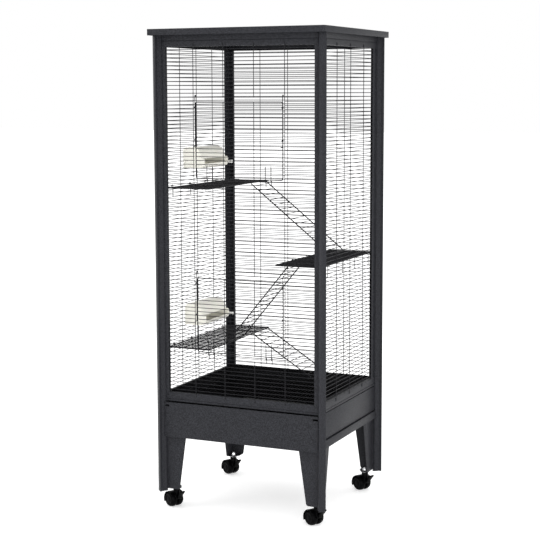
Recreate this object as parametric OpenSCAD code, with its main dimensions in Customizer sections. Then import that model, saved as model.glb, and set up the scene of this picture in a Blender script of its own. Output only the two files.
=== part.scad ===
// Tall welded-wire cage with four levels, two drop-down doors, a slide-out tray and swivel casters.
// Millimetres. Origin on the floor under the middle of the plan, +Z up, front towards -Y.

/* [Cage body] */
// Width between the outer faces of the side panels
body_w = 564; // [540:1:620]
// Depth between the outer faces of the front and rear panels
body_d = 512; // [496:1:560]
// Floor to the foot plates, which the casters fill
caster_h = 70; // [68:1:80]
// Open height of the legs under the drawer
leg_h = 183; // [150:1:220]
// Height of the base that holds the tray
base_h = 122; // [116:1:150]
// Height of the bottom rail of each panel
rail_h = 30; // [26:1:40]
// Height of the open wire field of each panel
grille_h = 1138; // [1134:0.5:1146]
// Height of the header of each panel, up to the roof lip
header_h = 37; // [32:1:50]

/* [Roof lid] */
// Reach of the lid past the side panels
roof_out_x = 28; // [27.5:0.5:40]
// Reach of the lid past the front and rear panels
roof_out_y = 36; // [28:0.5:44]
// Height of the lip of the lid
roof_h = 20; // [16:0.5:30]
// Corner radius of the lid
roof_r = 5; // [2:0.5:8]

/* [Sheet metal] */
// Sheet of the panels, aprons, tray and lid
sheet_t = 1.2; // [0.8:0.1:1.5]
// Wall of the corner posts
post_t = 1.5; // [1:0.1:2]
// How far a corner post stands out from the panels, both ways
post_out = 25; // [23:0.5:26]
// Visible width of the stiles of the front and rear panels
stile_w = 13; // [11:0.5:20]
// Width of the raised stiles of the side panels
side_stile_w = 20; // [16:1:26]
// Width of the sunk channel between a side stile and its post
side_gap_w = 15; // [12:0.5:18]
// Depth of that channel
side_gap_d = 5.5; // [4:0.5:5.5]
// Depth of the inner fold of the side stiles, which the shelves pass
side_fold = 3.2; // [2.8:0.1:3.6]
// Depth of the panel frames behind their faces
frame_d = 12; // [11:0.5:13]
// Width of the ledge that the floor grate lies on
ledge_w = 20; // [18:0.5:24]
// Depth of the bead lines in header and rail
bead_d = 1.5; // [1:0.1:2]

/* [Wires] */
// Spacing of the horizontal wires
pitch = 12.7; // [12.5:0.05:12.9]
// Height of the first wire over the rail
first_wire = 11.5; // [9:0.5:13]
// Diameter of the panel wires
wire_d = 2.2; // [2:0.1:2.4]
// How far a wire is pressed into the sheet or wire that it is welded to
weld = 0.25; // [0.2:0.05:0.3]
// Length of an upright wire on the frame at each end
lap = 10; // [6:0.5:12]
// Upright wires of the front and rear panels, inner pair from the middle
upright_in = 54; // [50:1:58]
// Upright wires of the side panels, from the middle one
upright_side = 120; // [110:1:130]

/* [Doors] */
// Width of a door
door_w = 311; // [305:0.5:312]
// Gap between a door and the upright wires at its sides
bay_gap = 4.4; // [3.5:0.1:6]
// Gap between a door and the wire over it
door_top_gap = 12.7; // [10:0.1:16]
// Diameter of the door's frame wire
door_wire_d = 3.5; // [3:0.1:3.8]
// Which wire carries the hinge of the upper door
upper_hinge_row = 55; // [53:1:56]
// Which wire carries the hinge of the lower door
lower_hinge_row = 10; // [9:1:11]
// Wire spaces from the hinge to the wire over a door
bay_rows = 21; // [19:1:23]
// Door frame over the hinge axis
door_lift = 4; // [3.9:0.1:5]
// Diameter of the hinge wire
hinge_d = 2.5; // [2.2:0.1:2.6]
// Diameter of the hook wire
hook_d = 2.4; // [2.2:0.1:2.4]
// Inner hooks from the middle
hook_in = 94; // [88:1:98]
// Outer hooks from the middle
hook_out = 113.5; // [108:0.5:120]
// Height of the hook legs over the hinge axis
hook_leg = 48; // [40:1:60]
// Length of the hook tails under the hinge axis
hook_tail = 16; // [15:0.5:20]

/* [Latches] */
// Diameter of the latch rods
latch_d = 2.5; // [2.2:0.1:2.8]
// Length of a latch rod
latch_len = 166; // [120:1:190]
// Slide of a latch from open to locked
latch_travel = 3.6; // [3:0.1:3.8]
// Length of the turned-down tip
latch_tip = 3.5; // [3:0.1:4]
// Reach of the finger end
latch_grip = 14; // [10:1:20]
// Running clearance of small moving fits
fit = 0.3; // [0.25:0.01:0.35]

/* [Base and tray] */
// How far the drawer front stands out from the front panel
drawer_out = 7; // [6:0.5:9]
// Gap over the drawer front
drawer_gap = 4; // [3:0.5:6]
// Depth of the tray pan
tray_h = 96; // [70:1:100]
// Width of the rims that the tray rides on
rim_w = 8; // [6:0.5:9]
// Space between the tray pan and the rear legs
tray_back = 9; // [4:1:20]
// Height of the proud lower rail of the aprons
apron_rail = 26; // [20:1:32]
// How far that rail stands out
apron_out = 4.5; // [2:0.5:4.5]
// Mesh wire of the floor grate
floor_wire_d = 2.2; // [2:0.1:2.6]
// Frame wire of the floor grate
floor_frame_d = 4; // [3.6:0.1:4.4]

/* [Legs] */
// Sheet of the legs
leg_t = 2; // [1.5:0.1:2.5]
// Width of a front or rear wing at the top
leg_wx_top = 70; // [60:1:80]
// Width of a front or rear wing at the bottom
leg_wx_bot = 45; // [40:1:50]
// Width of a side wing at the top
leg_wy_top = 90; // [80:1:100]
// Width of a side wing at the bottom
leg_wy_bot = 54; // [50:1:60]
// Thickness of the foot plates
plate_t = 2.5; // [2:0.1:3]

/* [Shelves and ramps] */
// Upper shelf over the floor grate
upper_level = 680; // [676:0.5:684]
// Middle shelf over the floor grate
middle_level = 442; // [438:0.5:446]
// Lower shelf over the floor grate
lower_level = 150; // [147:0.5:154]
// Width of a shelf, from the wall
shelf_w = 162; // [156:0.5:168]
// Length of a shelf
shelf_l = 476; // [470:0.5:480]
// Frame wire of shelves and ramps
shelf_frame_d = 4; // [3.6:0.1:4.2]
// Mesh wire of shelves and ramps
shelf_wire_d = 2; // [1.8:0.1:2.2]
// Wire of the shelf brackets
bracket_d = 2.4; // [2.2:0.1:2.6]
// Width of a ramp in wire spaces
ramp_rows = 10; // [9:1:10]
// Spacing of the rungs
rung_pitch = 25.4; // [22:0.1:30]
// Level run of the upper ramp
upper_ramp_run = 300; // [280:1:310]
// Level run of the middle ramp, up to the lower shelf
lower_ramp_run = 232; // [215:1:250]

/* [Feeders] */
// Length of a feeder along the wall
feeder_l = 180; // [160:1:184]
// Depth of the hood of a feeder
feeder_w = 67; // [60:0.5:70]
// Reach of its bowl past the hood
lip_out = 14; // [10:0.5:16]
// Height of a feeder
feeder_h = 72; // [68:1:80]
// Wall of a feeder
feeder_t = 2.5; // [2:0.1:3]
// Middle of the feeders from the middle of the side panel
feeder_y = -18; // [-24:1:-10]
// Which wire the bolt of the upper feeder goes over
upper_bolt_row = 58; // [57:1:59]
// Which wire the bolt of the lower feeder goes over
lower_bolt_row = 16; // [15:1:18]
// Diameter of the bolts
bolt_d = 9; // [8:0.1:9.5]
// Length of a bolt inside the cage
bolt_len = 95; // [84:1:100]
// Axis of a bolt over the underside of its feeder
bolt_rise = 17; // [15:0.5:20]
// Height of the opening between bowl and hood
slot_h = 16; // [12:0.5:20]
// Height of the lip of the bowl
slot_z = 17; // [16:0.5:20]
// Width of the lug that a bolt goes through
lug_w = 16; // [15:0.5:20]
// Height of that lug
lug_h = 24; // [20:1:28]
// Thickness of that lug
lug_t = 8; // [6:0.5:10]
// Reach of a wing of the nut from the axis of the bolt
wing_r = 23; // [18:0.5:25]

/* [Casters] */
// Wheel diameter
wheel_d = 50; // [48:0.5:52]
// Width of each wheel
wheel_w = 20; // [18:0.5:20.5]
// Width of the web between the wheels
web_w = 7; // [6:0.5:8]
// Offset of the wheels from the stem
trail = 16; // [15:0.5:18]
// Stem diameter
stem_d = 9; // [8:0.1:10]
// Axle diameter
axle_d = 8; // [7:0.1:9]
// Stems from the outer faces of the side panels
stem_in_x = 24; // [23:0.5:30]
// Stems from the outer faces of the front and rear panels
stem_in_y = 36; // [34:0.5:40]
// Turn of the casters at rest, from +X
caster_turn = 151.2; // [150:0.2:180]
// Reach of the brake pedal from the stem
pedal_reach = 39; // [34:0.5:42]

/* [Hidden] */
$fn = 48;
eps = 0.01;
hw = body_w / 2;
hd = body_d / 2;
leg_z = caster_h + leg_h;
deck_z = leg_z + base_h;
open_z = deck_z + rail_h;
head_z = open_z + grille_h;
eave_z = head_z + header_h;
top_z = eave_z + roof_h;
under_lid = top_z - sheet_t;
wire_r = wire_d / 2;
upright_out = door_w / 2 + bay_gap + wire_r;
post_in = 7;                      // inner corner of a post, inside both panel faces
post_cap = 4;                     // where the slanted cap of a post starts
shade = [0.27, 0.27, 0.29];
black = [0.09, 0.09, 0.10];
zinc = [0.72, 0.72, 0.74];
ivory = [0.93, 0.90, 0.82];

// Heights of the wires
wire_n = floor((grille_h - first_wire - wire_r) / pitch) + 1;
function wire_z(i) = open_z + first_wire + pitch * i;

// ---- Outlines -------------------------------------------------------------------------------
function unit(v) = v / norm(v);
function left_of(a, b) = let (d = unit(b - a)) [-d[1], d[0]];
function push(a, b, c, t) = let (n = left_of(a, b), m = left_of(b, c)) b + (n + m) * t / (1 + n * m);
// Points of an open path moved to its left by t, mitred at the bends
function beside(p, t) = [for (i = [0:len(p) - 1])
  i == 0 ? p[0] + left_of(p[0], p[1]) * t :
  i == len(p) - 1 ? p[i] + left_of(p[i - 1], p[i]) * t : push(p[i - 1], p[i], p[i + 1], t)];
// Closed outline of a folded sheet along an open path
function folded(p, t) = let (q = beside(p, t)) concat(p, [for (i = [len(p) - 1:-1:0]) q[i]]);
// Closed outline moved to its left by t
function inset(p, t) = let (n = len(p)) [for (i = [0:n - 1]) push(p[(i + n - 1) % n], p[i], p[(i + 1) % n], t)];
// One rounded corner and a closed outline with its corners rounded
function corner(a, b, c, r, k) = let (u = unit(a - b), v = unit(c - b), h = acos(u * v) / 2,
  o = b + unit(u + v) * r / sin(h), s = b + u * r / tan(h) - o, e = b + v * r / tan(h) - o, w = 180 - 2 * h)
  [for (i = [0:k]) o + (s * sin(w * (1 - i / k)) + e * sin(w * i / k)) / sin(w)];
function rounded(p, r, k = 3) = let (n = len(p)) [for (i = [0:n - 1])
  each (r > 0 ? corner(p[(i + n - 1) % n], p[i], p[(i + 1) % n], r, k) : [p[i]])];
function box2(x0, y0, x1, y1) = [[x0, y0], [x1, y0], [x1, y1], [x0, y1]];
function arc(r, a0, a1, k, c = [0, 0]) = [for (i = [0:k]) let (a = a0 + (a1 - a0) * i / k)
  c + r * [cos(a), sin(a)]];

// Wires along the axes, eight-sided with flats on the axes
module wire_x(x0, x1, y, z, d) translate([x0, y, z]) rotate([0, 90, 0]) rotate(22.5)
  cylinder(h = x1 - x0, d = d / cos(22.5), $fn = 8);
module wire_y(y0, y1, x, z, d) translate([x, y0, z]) rotate([-90, 0, 0]) rotate(22.5)
  cylinder(h = y1 - y0, d = d / cos(22.5), $fn = 8);
module wire_z_(z0, z1, x, y, d) translate([x, y, z0]) rotate(22.5)
  cylinder(h = z1 - z0, d = d / cos(22.5), $fn = 8);
// An outline of (outward, height) pulled along +X
module along_x(x0, x1) translate([x0, 0, 0]) rotate([90, 0, 90]) linear_extrude(x1 - x0) children();
// An outline of (x, height) pulled along +Y
module along_y(y0, y1) translate([0, y1, 0]) rotate([90, 0, 0]) linear_extrude(y1 - y0) children();

// ---- Roof and posts -------------------------------------------------------------------------
module roof_cover() color(shade) {
  rx = hw + roof_out_x;
  ry = hd + roof_out_y;
  translate([0, 0, under_lid]) linear_extrude(sheet_t) polygon(rounded(box2(-rx, -ry, rx, ry), roof_r));
  translate([0, 0, eave_z]) linear_extrude(roof_h - sheet_t / 2) difference() {
    polygon(rounded(box2(-rx, -ry, rx, ry), roof_r));
    polygon(rounded(box2(sheet_t - rx, sheet_t - ry, rx - sheet_t, ry - sheet_t), roof_r - sheet_t));
  }
}

// Closed roll-formed tube, u outward along X and v outward along Y from the panel faces
post_path = [[-post_in, -post_in], [post_cap - 2, -post_in], [post_cap + 9, post_cap], [post_out, post_cap],
  [post_cap, post_out], [post_cap, post_cap + 9], [-post_in, post_cap - 2]];
module post(sx, sy) color(shade) translate([sx * hw, sy * hd, 0]) mirror([sx < 0 ? 1 : 0, 0, 0])
  mirror([0, sy < 0 ? 1 : 0, 0]) translate([0, 0, caster_h - 6]) linear_extrude(under_lid - caster_h + 6)
  difference() {
    polygon(rounded(post_path, 1.6, 2));
    polygon(rounded(inset(post_path, post_t), 0.8, 2));
  }

// ---- Panels ---------------------------------------------------------------------------------
// Outward is +Y here; each panel is turned into place afterwards
module header(x, deep_x) {
  path = [[0, head_z], [0, head_z + 18.5], [-bead_d, head_z + 19.5], [-bead_d, head_z + 20.5],
    [0, head_z + 21.5], [0, under_lid]];
  along_x(-x, x) polygon(folded(path, sheet_t));
  along_x(-deep_x, deep_x) polygon(folded(concat([[-frame_d, head_z]], path, [[-frame_d, under_lid]]), sheet_t));
}
module bottom_rail(x, deep_x) {
  path = [[0, open_z], [0, deck_z + 9], [-bead_d, deck_z + 8], [-bead_d, deck_z + 7], [0, deck_z + 6],
    [0, deck_z]];
  along_x(-x, x) polygon(folded(path, -sheet_t));
  along_x(-deep_x, deep_x) polygon(folded(concat([[-ledge_w, open_z]], path, [[-frame_d, deck_z]]), -sheet_t));
}
module stiles(path) for (s = [0, 1]) mirror([s, 0, 0]) translate([0, 0, open_z - sheet_t / 2])
  linear_extrude(grille_h + sheet_t) polygon(folded(path, -sheet_t));
// Uprights lie on the front of the horizontals and are pressed into the frame at their ends
row_y = -wire_r - weld;
module upright(x, z0, z1, press = 0) wire_z_(z0, z1, x, wire_r - weld - press, wire_d);

// Front or rear panel; bays lists [row of the hinge, row over the door]
edge_x = hw - post_in;
open_x = edge_x - stile_w;
module wide_panel(bays) color(shade) {
  header(edge_x, edge_x);
  bottom_rail(edge_x, edge_x);
  stiles([[open_x, -frame_d], [open_x, 0], [edge_x, 0], [edge_x, -frame_d]]);
  end_x = open_x + sheet_t - weld;
  for (i = [0:wire_n - 1])
    if (len([for (b = bays) if (i >= b[0] && i < b[1]) 1]) == 0)
      wire_x(-end_x, end_x, row_y, wire_z(i), wire_d);
    else for (s = [0, 1]) mirror([s, 0, 0])
      wire_x(upright_out - wire_r, end_x, row_y, wire_z(i), wire_d);
  tops = concat([for (b = bays) wire_z(b[0] - 1) + 1.5], [head_z + lap]);
  feet = concat([open_z - lap], [for (b = bays) wire_z(b[1]) - 1.5]);
  for (s = [-1, 1]) {
    upright(s * upright_out, open_z - lap, head_z + lap);
    for (i = [0:len(tops) - 1])
      upright(s * upright_in, feet[i], tops[i], i == 0 || i == len(tops) - 1 ? 0 : weld);
  }
}
bay_list = [[lower_hinge_row, lower_hinge_row + bay_rows], [upper_hinge_row, upper_hinge_row + bay_rows]];
module front_panel() translate([0, -hd, 0]) rotate(180) wide_panel(bay_list);
module rear_panel() translate([0, hd, 0]) wide_panel([]);

// Side panel: raised stiles with a sunk channel between them and the posts
side_edge = hd - post_in;
side_in = side_edge - side_gap_w;
side_open = side_in - side_stile_w;
module side_panel() color(shade) {
  header(side_edge, hd - frame_d - fit);
  bottom_rail(side_edge, hd - ledge_w - fit);
  stiles([[side_open, -side_fold], [side_open, 0], [side_in, 0], [side_in, -side_gap_d],
    [side_edge - sheet_t, -side_gap_d], [side_edge - sheet_t, -0.5]]);
  end_x = side_open + sheet_t - weld;
  for (i = [0:wire_n - 1]) wire_x(-end_x, end_x, row_y, wire_z(i), wire_d);
  for (x = [-upright_side, 0, upright_side]) upright(x, open_z - lap, head_z + lap);
}
module right_panel() translate([hw, 0, 0]) rotate(-90) side_panel();
module left_panel() translate([-hw, 0, 0]) rotate(90) side_panel();

// ---- Base -----------------------------------------------------------------------------------
apron_top = deck_z - 3;
apron_d = post_in - fit;
rail_top = leg_z + 5 + apron_rail;
// Folded apron: face, shadow groove, proud lower rail
apron_path = [[-apron_d, apron_top], [0, apron_top], [0, rail_top + 4], [-apron_d + 1.5, rail_top + 4],
  [-apron_d + 1.5, rail_top], [apron_out, rail_top], [apron_out, leg_z + 5], [-apron_d, leg_z + 5]];
module apron(x) {
  along_x(-x, x) polygon(folded(apron_path, -sheet_t));
  // the proud face runs on over the slanted wall of each post
  tip = x + fit + max(0, apron_out - sheet_t - (post_cap - 2)) - fit * 1.5;
  along_x(-tip, tip) polygon(box2(apron_out - sheet_t, leg_z + 5, apron_out, rail_top));
}
runner_z = deck_z - 15;
module side_apron() color(shade) {
  apron(side_edge - fit);
  // ledge that the rim of the tray rides on
  in = post_in + leg_t;
  inner = hd - post_in - leg_t - leg_wy_top - fit;
  translate([0, 0, runner_z - sheet_t]) linear_extrude(sheet_t) polygon([[-inner, -sheet_t / 2],
    [-inner, -in - fit], [4 - side_edge, -in - fit], [4 - side_edge, -in - rim_w - fit * 2],
    [side_edge - 4, -in - rim_w - fit * 2], [side_edge - 4, -in - fit], [inner, -in - fit],
    [inner, -sheet_t / 2]]);
}
module right_apron() translate([hw, 0, 0]) rotate(-90) side_apron();
module left_apron() translate([-hw, 0, 0]) rotate(90) side_apron();
module rear_apron() color(shade) translate([0, hd, 0]) apron(edge_x - fit);

// Drawer front: folded plate with a notch and a tab at each top end
front_x = hw - post_in + (drawer_out - sheet_t - (post_cap - 2)) - fit * 1.5;
drawer_top = deck_z - drawer_gap;
module drawer_front() color(shade) translate([0, -hd, 0]) {
  inner_x = edge_x - 0.5;
  face_y = -drawer_out;
  translate([0, face_y + sheet_t, 0]) rotate([90, 0, 0]) linear_extrude(sheet_t) difference() {
    polygon(rounded(box2(-front_x, leg_z, front_x, drawer_top), 1.5, 2));
    for (s = [-1, 1]) translate([s * (front_x - 9), drawer_top - 11]) square([20, 6], center = true);
  }
  for (z = [leg_z, drawer_top - sheet_t]) translate([-inner_x, face_y + sheet_t / 2, z])
    cube([inner_x * 2, 5.5, sheet_t]);
  for (s = [-1, 1]) translate([s * (inner_x - sheet_t / 2) - sheet_t / 2, face_y + sheet_t / 2, leg_z])
    cube([sheet_t, 5.5, base_h - drawer_gap - 20]);
  // rivet on each tab
  for (s = [-1, 1]) translate([s * (front_x - 9), face_y + 0.2, drawer_top - 4.5]) rotate([90, 0, 0])
    cylinder(h = 1.2, d = 5, $fn = 24);
}

tray_z = runner_z + fit + sheet_t - tray_h;
tray_x = hw - post_in - leg_t - rim_w - fit * 4;
module tray_pan() color(black) {
  y0 = -hd - drawer_out + sheet_t;
  y1 = hd - post_in - leg_t - tray_back;
  difference() {
    translate([0, 0, tray_z]) linear_extrude(tray_h) polygon(rounded(box2(-tray_x, y0, tray_x, y1), 6));
    translate([0, 0, tray_z + sheet_t]) linear_extrude(tray_h)
      polygon(rounded(box2(sheet_t - tray_x, y0 + sheet_t, tray_x - sheet_t, y1 - sheet_t), 5));
  }
  for (s = [0, 1]) mirror([s, 0, 0]) translate([tray_x - sheet_t / 2, y0 + 8, tray_z + tray_h - sheet_t])
    cube([rim_w + sheet_t / 2, y1 - y0 - 16, sheet_t]);
}

module floor_grate() color(shade) {
  x = hw - ledge_w + floor_frame_d / 2 + 0.5;
  y = hd - ledge_w + floor_frame_d / 2;
  zf = open_z + floor_frame_d / 2;
  zm = open_z + floor_frame_d - floor_wire_d / 2 + 0.6;
  for (s = [-1, 1]) {
    wire_x(-x - floor_frame_d / 2, x + floor_frame_d / 2, s * y, zf, floor_frame_d);
    wire_y(-y, y, s * x, zf, floor_frame_d);
  }
  n = floor(2 * (x - 3) / pitch);
  for (i = [0:n]) wire_y(-y, y, (i - n / 2) * pitch, zm, floor_wire_d);
  for (i = [-3:3]) wire_x(-x - 1, x + 1, i * y / 4, zm - floor_wire_d, floor_wire_d);
}

// ---- Legs -----------------------------------------------------------------------------------
// Two tapered wings folded round the inner corner of a post, and a foot plate
module leg(sx, sy, front) color(shade) mirror([sx < 0 ? 1 : 0, 0, 0]) mirror([0, sy < 0 ? 1 : 0, 0])
  translate([hw - post_in, hd - post_in, 0]) {
    top = deck_z - 5;
    xtop = front ? leg_z - fit * 3 : top;
    rotate([90, 0, 0]) linear_extrude(leg_t)
      polygon(concat([[0, caster_h], [8 - leg_wx_bot, caster_h], [2 - leg_wx_bot, caster_h + 2.5],
        [-leg_wx_bot, caster_h + 8], [-leg_wx_top, leg_z - fit * 3]], front ? [] : [[-leg_wx_top, top]],
        [[0, xtop]]));
    translate([-leg_t, 0, 0]) rotate([90, 0, 90]) linear_extrude(leg_t)
      polygon([[0, caster_h], [8 - leg_wy_bot, caster_h], [2 - leg_wy_bot, caster_h + 2.5],
        [-leg_wy_bot, caster_h + 8], [-leg_wy_top, leg_z], [-leg_wy_top, top], [0, top]]);
    translate([0, 0, caster_h]) linear_extrude(plate_t) difference() {
      polygon([[0, 0], [6 - leg_wx_bot, 0], [6 - leg_wx_bot, -24], [-26, 8 - leg_wy_bot], [0, 8 - leg_wy_bot]]);
      translate([post_in - stem_in_x, post_in - stem_in_y]) circle(d = stem_d + 1);
    }
  }

// ---- Shelves --------------------------------------------------------------------------------
mesh_n = 2 * floor((shelf_l / 2 - shelf_frame_d) / pitch);
bracket_y = [for (k = [-14.5, -4.5, 4.5, 14.5]) k * pitch];
wall_x = hw - wire_d - weld;                    // inner face of the side wires
// The wire that the brackets hang on: the nearest one over the shelf
function hang_row(z) = ceil((z - open_z - first_wire + 1) / pitch);
frame_x = wall_x - shelf_frame_d / 2 - 6.8;      // wall edge of a shelf, clear of the side stiles
edge_in = hw - 4 - shelf_w;                      // free edge of a shelf
pivot_x = edge_in + shelf_frame_d / 2;
module shelf(level) color(shade) {
  z = open_z + level;
  zw = wire_z(hang_row(z));
  y = shelf_l / 2 - shelf_frame_d / 2;
  for (s = [-1, 1]) wire_x(pivot_x, frame_x, s * y, z, shelf_frame_d);
  for (x = [pivot_x, frame_x]) wire_y(-y - shelf_frame_d / 2, y + shelf_frame_d / 2, x, z, shelf_frame_d);
  for (i = [0:mesh_n]) wire_x(pivot_x, frame_x, (i - mesh_n / 2) * pitch, z, shelf_wire_d);
  for (i = [1:5]) wire_y(-y, y, pivot_x + (frame_x - pivot_x) * i / 6, z - shelf_wire_d, shelf_wire_d);
  // brackets: against two side wires, over one and down outside
  bx = wall_x - bracket_d / 2;
  for (y = bracket_y) {
    wire_x(frame_x, bx, y, z, bracket_d);
    wire_z_(zw - 3 * pitch, zw + wire_r + bracket_d, bx, y, bracket_d);
    wire_x(bx, hw - weld + fit + bracket_d, y, zw + wire_r + bracket_d / 2, bracket_d);
    wire_z_(zw - 4, zw + wire_r + bracket_d, hw - weld + fit + bracket_d / 2, y, bracket_d);
  }
}
module upper_shelf() mirror([1, 0, 0]) shelf(upper_level);
module middle_shelf() shelf(middle_level);
module lower_shelf() mirror([1, 0, 0]) shelf(lower_level);

// ---- Ramps ----------------------------------------------------------------------------------
// Hooks over the free edge wire of a shelf; two rails and rungs. +X is downhill, the pivot is the
// origin. The foot of the rails rests on what is drop below the pivot.
module ramp(run, drop, row) color(shade) {
  slope = atan2(drop, run);
  foot = shelf_frame_d / 2 / cos(22.5);
  len = (drop - foot) / sin(slope);
  ri = foot + fit;
  ro = ri + 2.6;
  y0 = (row + 0.5) * pitch;
  w = ramp_rows * pitch;
  for (y = [y0, y0 + w])
    along_y(y - 2, y + 2) polygon(concat(arc(ri, -slope - 20, 195, 12), arc(ro, 195, -slope - 20, 12)));
  rotate([0, slope, 0]) {
    for (y = [y0, y0 + w]) wire_x(ri + 0.8, len, y, 0, shelf_frame_d);
    for (i = [0:floor((len - 30) / rung_pitch)])
      wire_y(y0, y0 + w, 14 + rung_pitch * i, 0, shelf_wire_d + 0.4);
    // foot wire, which lies on the mesh below
    wire_y(y0 - shelf_frame_d / 2, y0 + w + shelf_frame_d / 2, len, 0, shelf_frame_d);
  }
}
mesh_top = shelf_wire_d / 2 + fit;
module upper_ramp() translate([-pivot_x, 0, open_z + upper_level])
  ramp(upper_ramp_run, upper_level - middle_level - mesh_top, 6);
module middle_ramp() translate([pivot_x, 0, open_z + middle_level]) mirror([1, 0, 0])
  ramp(2 * pivot_x + 6, middle_level - lower_level - mesh_top, -8);
module lower_ramp() translate([-pivot_x, 0, open_z + lower_level])
  ramp(lower_ramp_run, lower_level - floor_frame_d - 0.6 - fit, 7);

// ---- Feeders --------------------------------------------------------------------------------
// Moulded bowl under a domed hood, against the left wall; x runs from the wall inward
feeder_wall = fit;
bowl_w = feeder_w + lip_out;
lug_y = feeder_y + feeder_l / 2 + lug_w / 2 - 0.5;
// Underside and front of the bowl, then face and dome of the hood, both moved inward by e
function bowl_side(e) = [[e, e + 2], [e + 2, e], [feeder_w - 9, e], [bowl_w - 8 - e * 0.4, 3.5 + e * 0.8],
  [bowl_w - 2 - e * 0.9, 9 + e * 0.4], [bowl_w - e, 15]];
function hood_side(e) = concat([[feeder_w - e, feeder_h - 30]],
  arc(30 - e, 15, 90, 6, [feeder_w - 30, feeder_h - 30]), [[e + 6, feeder_h - e - 1], [e, feeder_h - e - 8]]);
module feeder(row) color(ivory) translate([-wall_x + feeder_wall, 0, wire_z(row) + pitch / 2 - bolt_rise]) {
  y0 = feeder_y - feeder_l / 2;
  y1 = feeder_y + feeder_l / 2;
  over = slot_z + slot_h;
  difference() {
    along_y(y0, y1) polygon(concat(bowl_side(0), [[bowl_w, over - 2], [bowl_w - 1.5, over + 1],
      [bowl_w - 5, over + 2.5], [feeder_w, over + 3.5]], hood_side(0)));
    along_y(y0 + feeder_t, y1 - feeder_t) polygon(concat(bowl_side(feeder_t),
      [[bowl_w - feeder_t, slot_z + 1], [feeder_w - feeder_t, slot_z + 1]], hood_side(feeder_t)));
    // opening between the cheeks, over the lip and under the hood
    along_y(y0 + feeder_t, y1 - feeder_t) polygon([[feeder_w - feeder_t - 1, slot_z], [bowl_w + 1, slot_z],
      [bowl_w + 1, over + 10], [feeder_w, over + 10], [feeder_w, over], [feeder_w - feeder_t - 1, over]]);
  }
  // lug for the bolt
  difference() {
    translate([0, y1 - 1, bolt_rise - lug_h / 2]) cube([lug_t, lug_w + 0.5, lug_h]);
    translate([-1, lug_y, bolt_rise]) rotate([0, 90, 0]) cylinder(h = lug_t + 2, d = bolt_d + fit * 2);
  }
}
module upper_feeder() feeder(upper_bolt_row);
module lower_feeder() feeder(lower_bolt_row);

// Bolt through the lug and the wall, with a shoulder inside and a wing nut outside
module feeder_bolt(row) color(ivory) translate([-hw, lug_y, wire_z(row) + pitch / 2]) {
  x1 = wire_d + weld + feeder_wall + lug_t;
  translate([-9, 0, 0]) rotate([0, 90, 0]) cylinder(h = bolt_len + 9, d = bolt_d);
  translate([x1 + fit, 0, 0]) rotate([0, 90, 0]) cylinder(h = 5, d = bolt_d + 6);
  translate([bolt_len - 4, 0, 0]) rotate([0, 90, 0]) cylinder(h = 4, d = bolt_d + 1.6);
  // washer on the outer faces of the wires, then the wing nut
  translate([weld - 1.5, 0, 0]) rotate([0, 90, 0]) cylinder(h = 1.5, d = pitch + 8);
  translate([-8, 0, 0]) rotate([0, 90, 0]) cylinder(h = 7, d = 15);
  for (a = [0, 180]) rotate([a, 0, 0]) along_x(-7, -4) polygon([[4, 5], [wing_r - 3, 10], [wing_r, 7],
    [wing_r, -2], [wing_r - 4, -5], [4, -5]]);
}
module upper_feeder_bolt() feeder_bolt(upper_bolt_row);
module lower_feeder_bolt() feeder_bolt(lower_bolt_row);

// ---- Doors ----------------------------------------------------------------------------------
// Axis of a hinge: the hinge wire lies against the back of the outer uprights
hinge_y = -hd + weld + hinge_d / 2;
module hinge_wire(row) color(shade) translate([wire_r - upright_out, hinge_y, wire_z(row)])
  rotate([0, 90, 0]) cylinder(h = 2 * upright_out - wire_d, d = hinge_d);
module upper_hinge_wire() hinge_wire(upper_hinge_row);
module lower_hinge_wire() hinge_wire(lower_hinge_row);

latch_x = door_w / 2 - 1;
latch_y = -hd - fit - latch_d / 2;
door_h = bay_rows * pitch - wire_r - door_top_gap - door_lift;
strap_gap = latch_d / 2 + fit;
tuck = 0.4;                       // a wire stops this short of the far side of the wire it ends on
module door(row) color(shade) {
  y = -hd + wire_r;
  zb = wire_z(row) + door_lift;
  e = door_wire_d / 2;
  x = door_w / 2 - e;
  for (z = [zb + e, zb + door_h - e]) wire_x(2 * tuck - x - e, x + e - 2 * tuck, e - hd, z, door_wire_d);
  for (s = [-1, 1]) wire_z_(zb + tuck, zb + door_h - tuck, s * x, e - hd, door_wire_d);
  for (i = [1:floor((door_h + door_lift - door_wire_d - 3) / pitch)])
    wire_x(-x, x, y + weld, wire_z(row) + pitch * i, wire_d);
  for (s = [-1, 1]) wire_z_(zb + tuck, zb + door_h - tuck, s * upright_in, 2 * weld - hd - wire_r, wire_d);
  // straps round the latch rods
  yo = latch_y - strap_gap - sheet_t;
  for (s = [-1, 1], z = [zb + door_h - 22, zb + door_h - latch_len + 40]) translate([s * latch_x, 0, z])
    linear_extrude(6) difference() {
      polygon(box2(-strap_gap - sheet_t, yo, strap_gap + sheet_t, weld / 2 - hd));
      polygon(box2(-strap_gap, latch_y - strap_gap, strap_gap, latch_y + strap_gap));
    }
}
module upper_door() door(upper_hinge_row);
module lower_door() door(lower_hinge_row);

// Ring hooks: leg up the door's face, ring round the hinge wire, tail down behind the panel wires
hook_r = hinge_y + hd + hook_d / 2;
module door_hooks(row) color(shade) for (x = [-hook_out, -hook_in, hook_in, hook_out])
  translate([x, hinge_y, wire_z(row)]) {
    rotate([0, 90, 0]) rotate_extrude() translate([hook_r, 0]) circle(d = hook_d, $fn = 24);
    translate([0, -hook_r - 0.1, -0.5]) cylinder(h = hook_leg + 0.5, d = hook_d - 0.2, $fn = 24);
    translate([0, hook_r, -hook_tail]) cylinder(h = hook_tail + 0.5, d = hook_d - 0.2, $fn = 24);
  }
module upper_door_hooks() door_hooks(upper_hinge_row);
module lower_door_hooks() door_hooks(lower_hinge_row);

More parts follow.
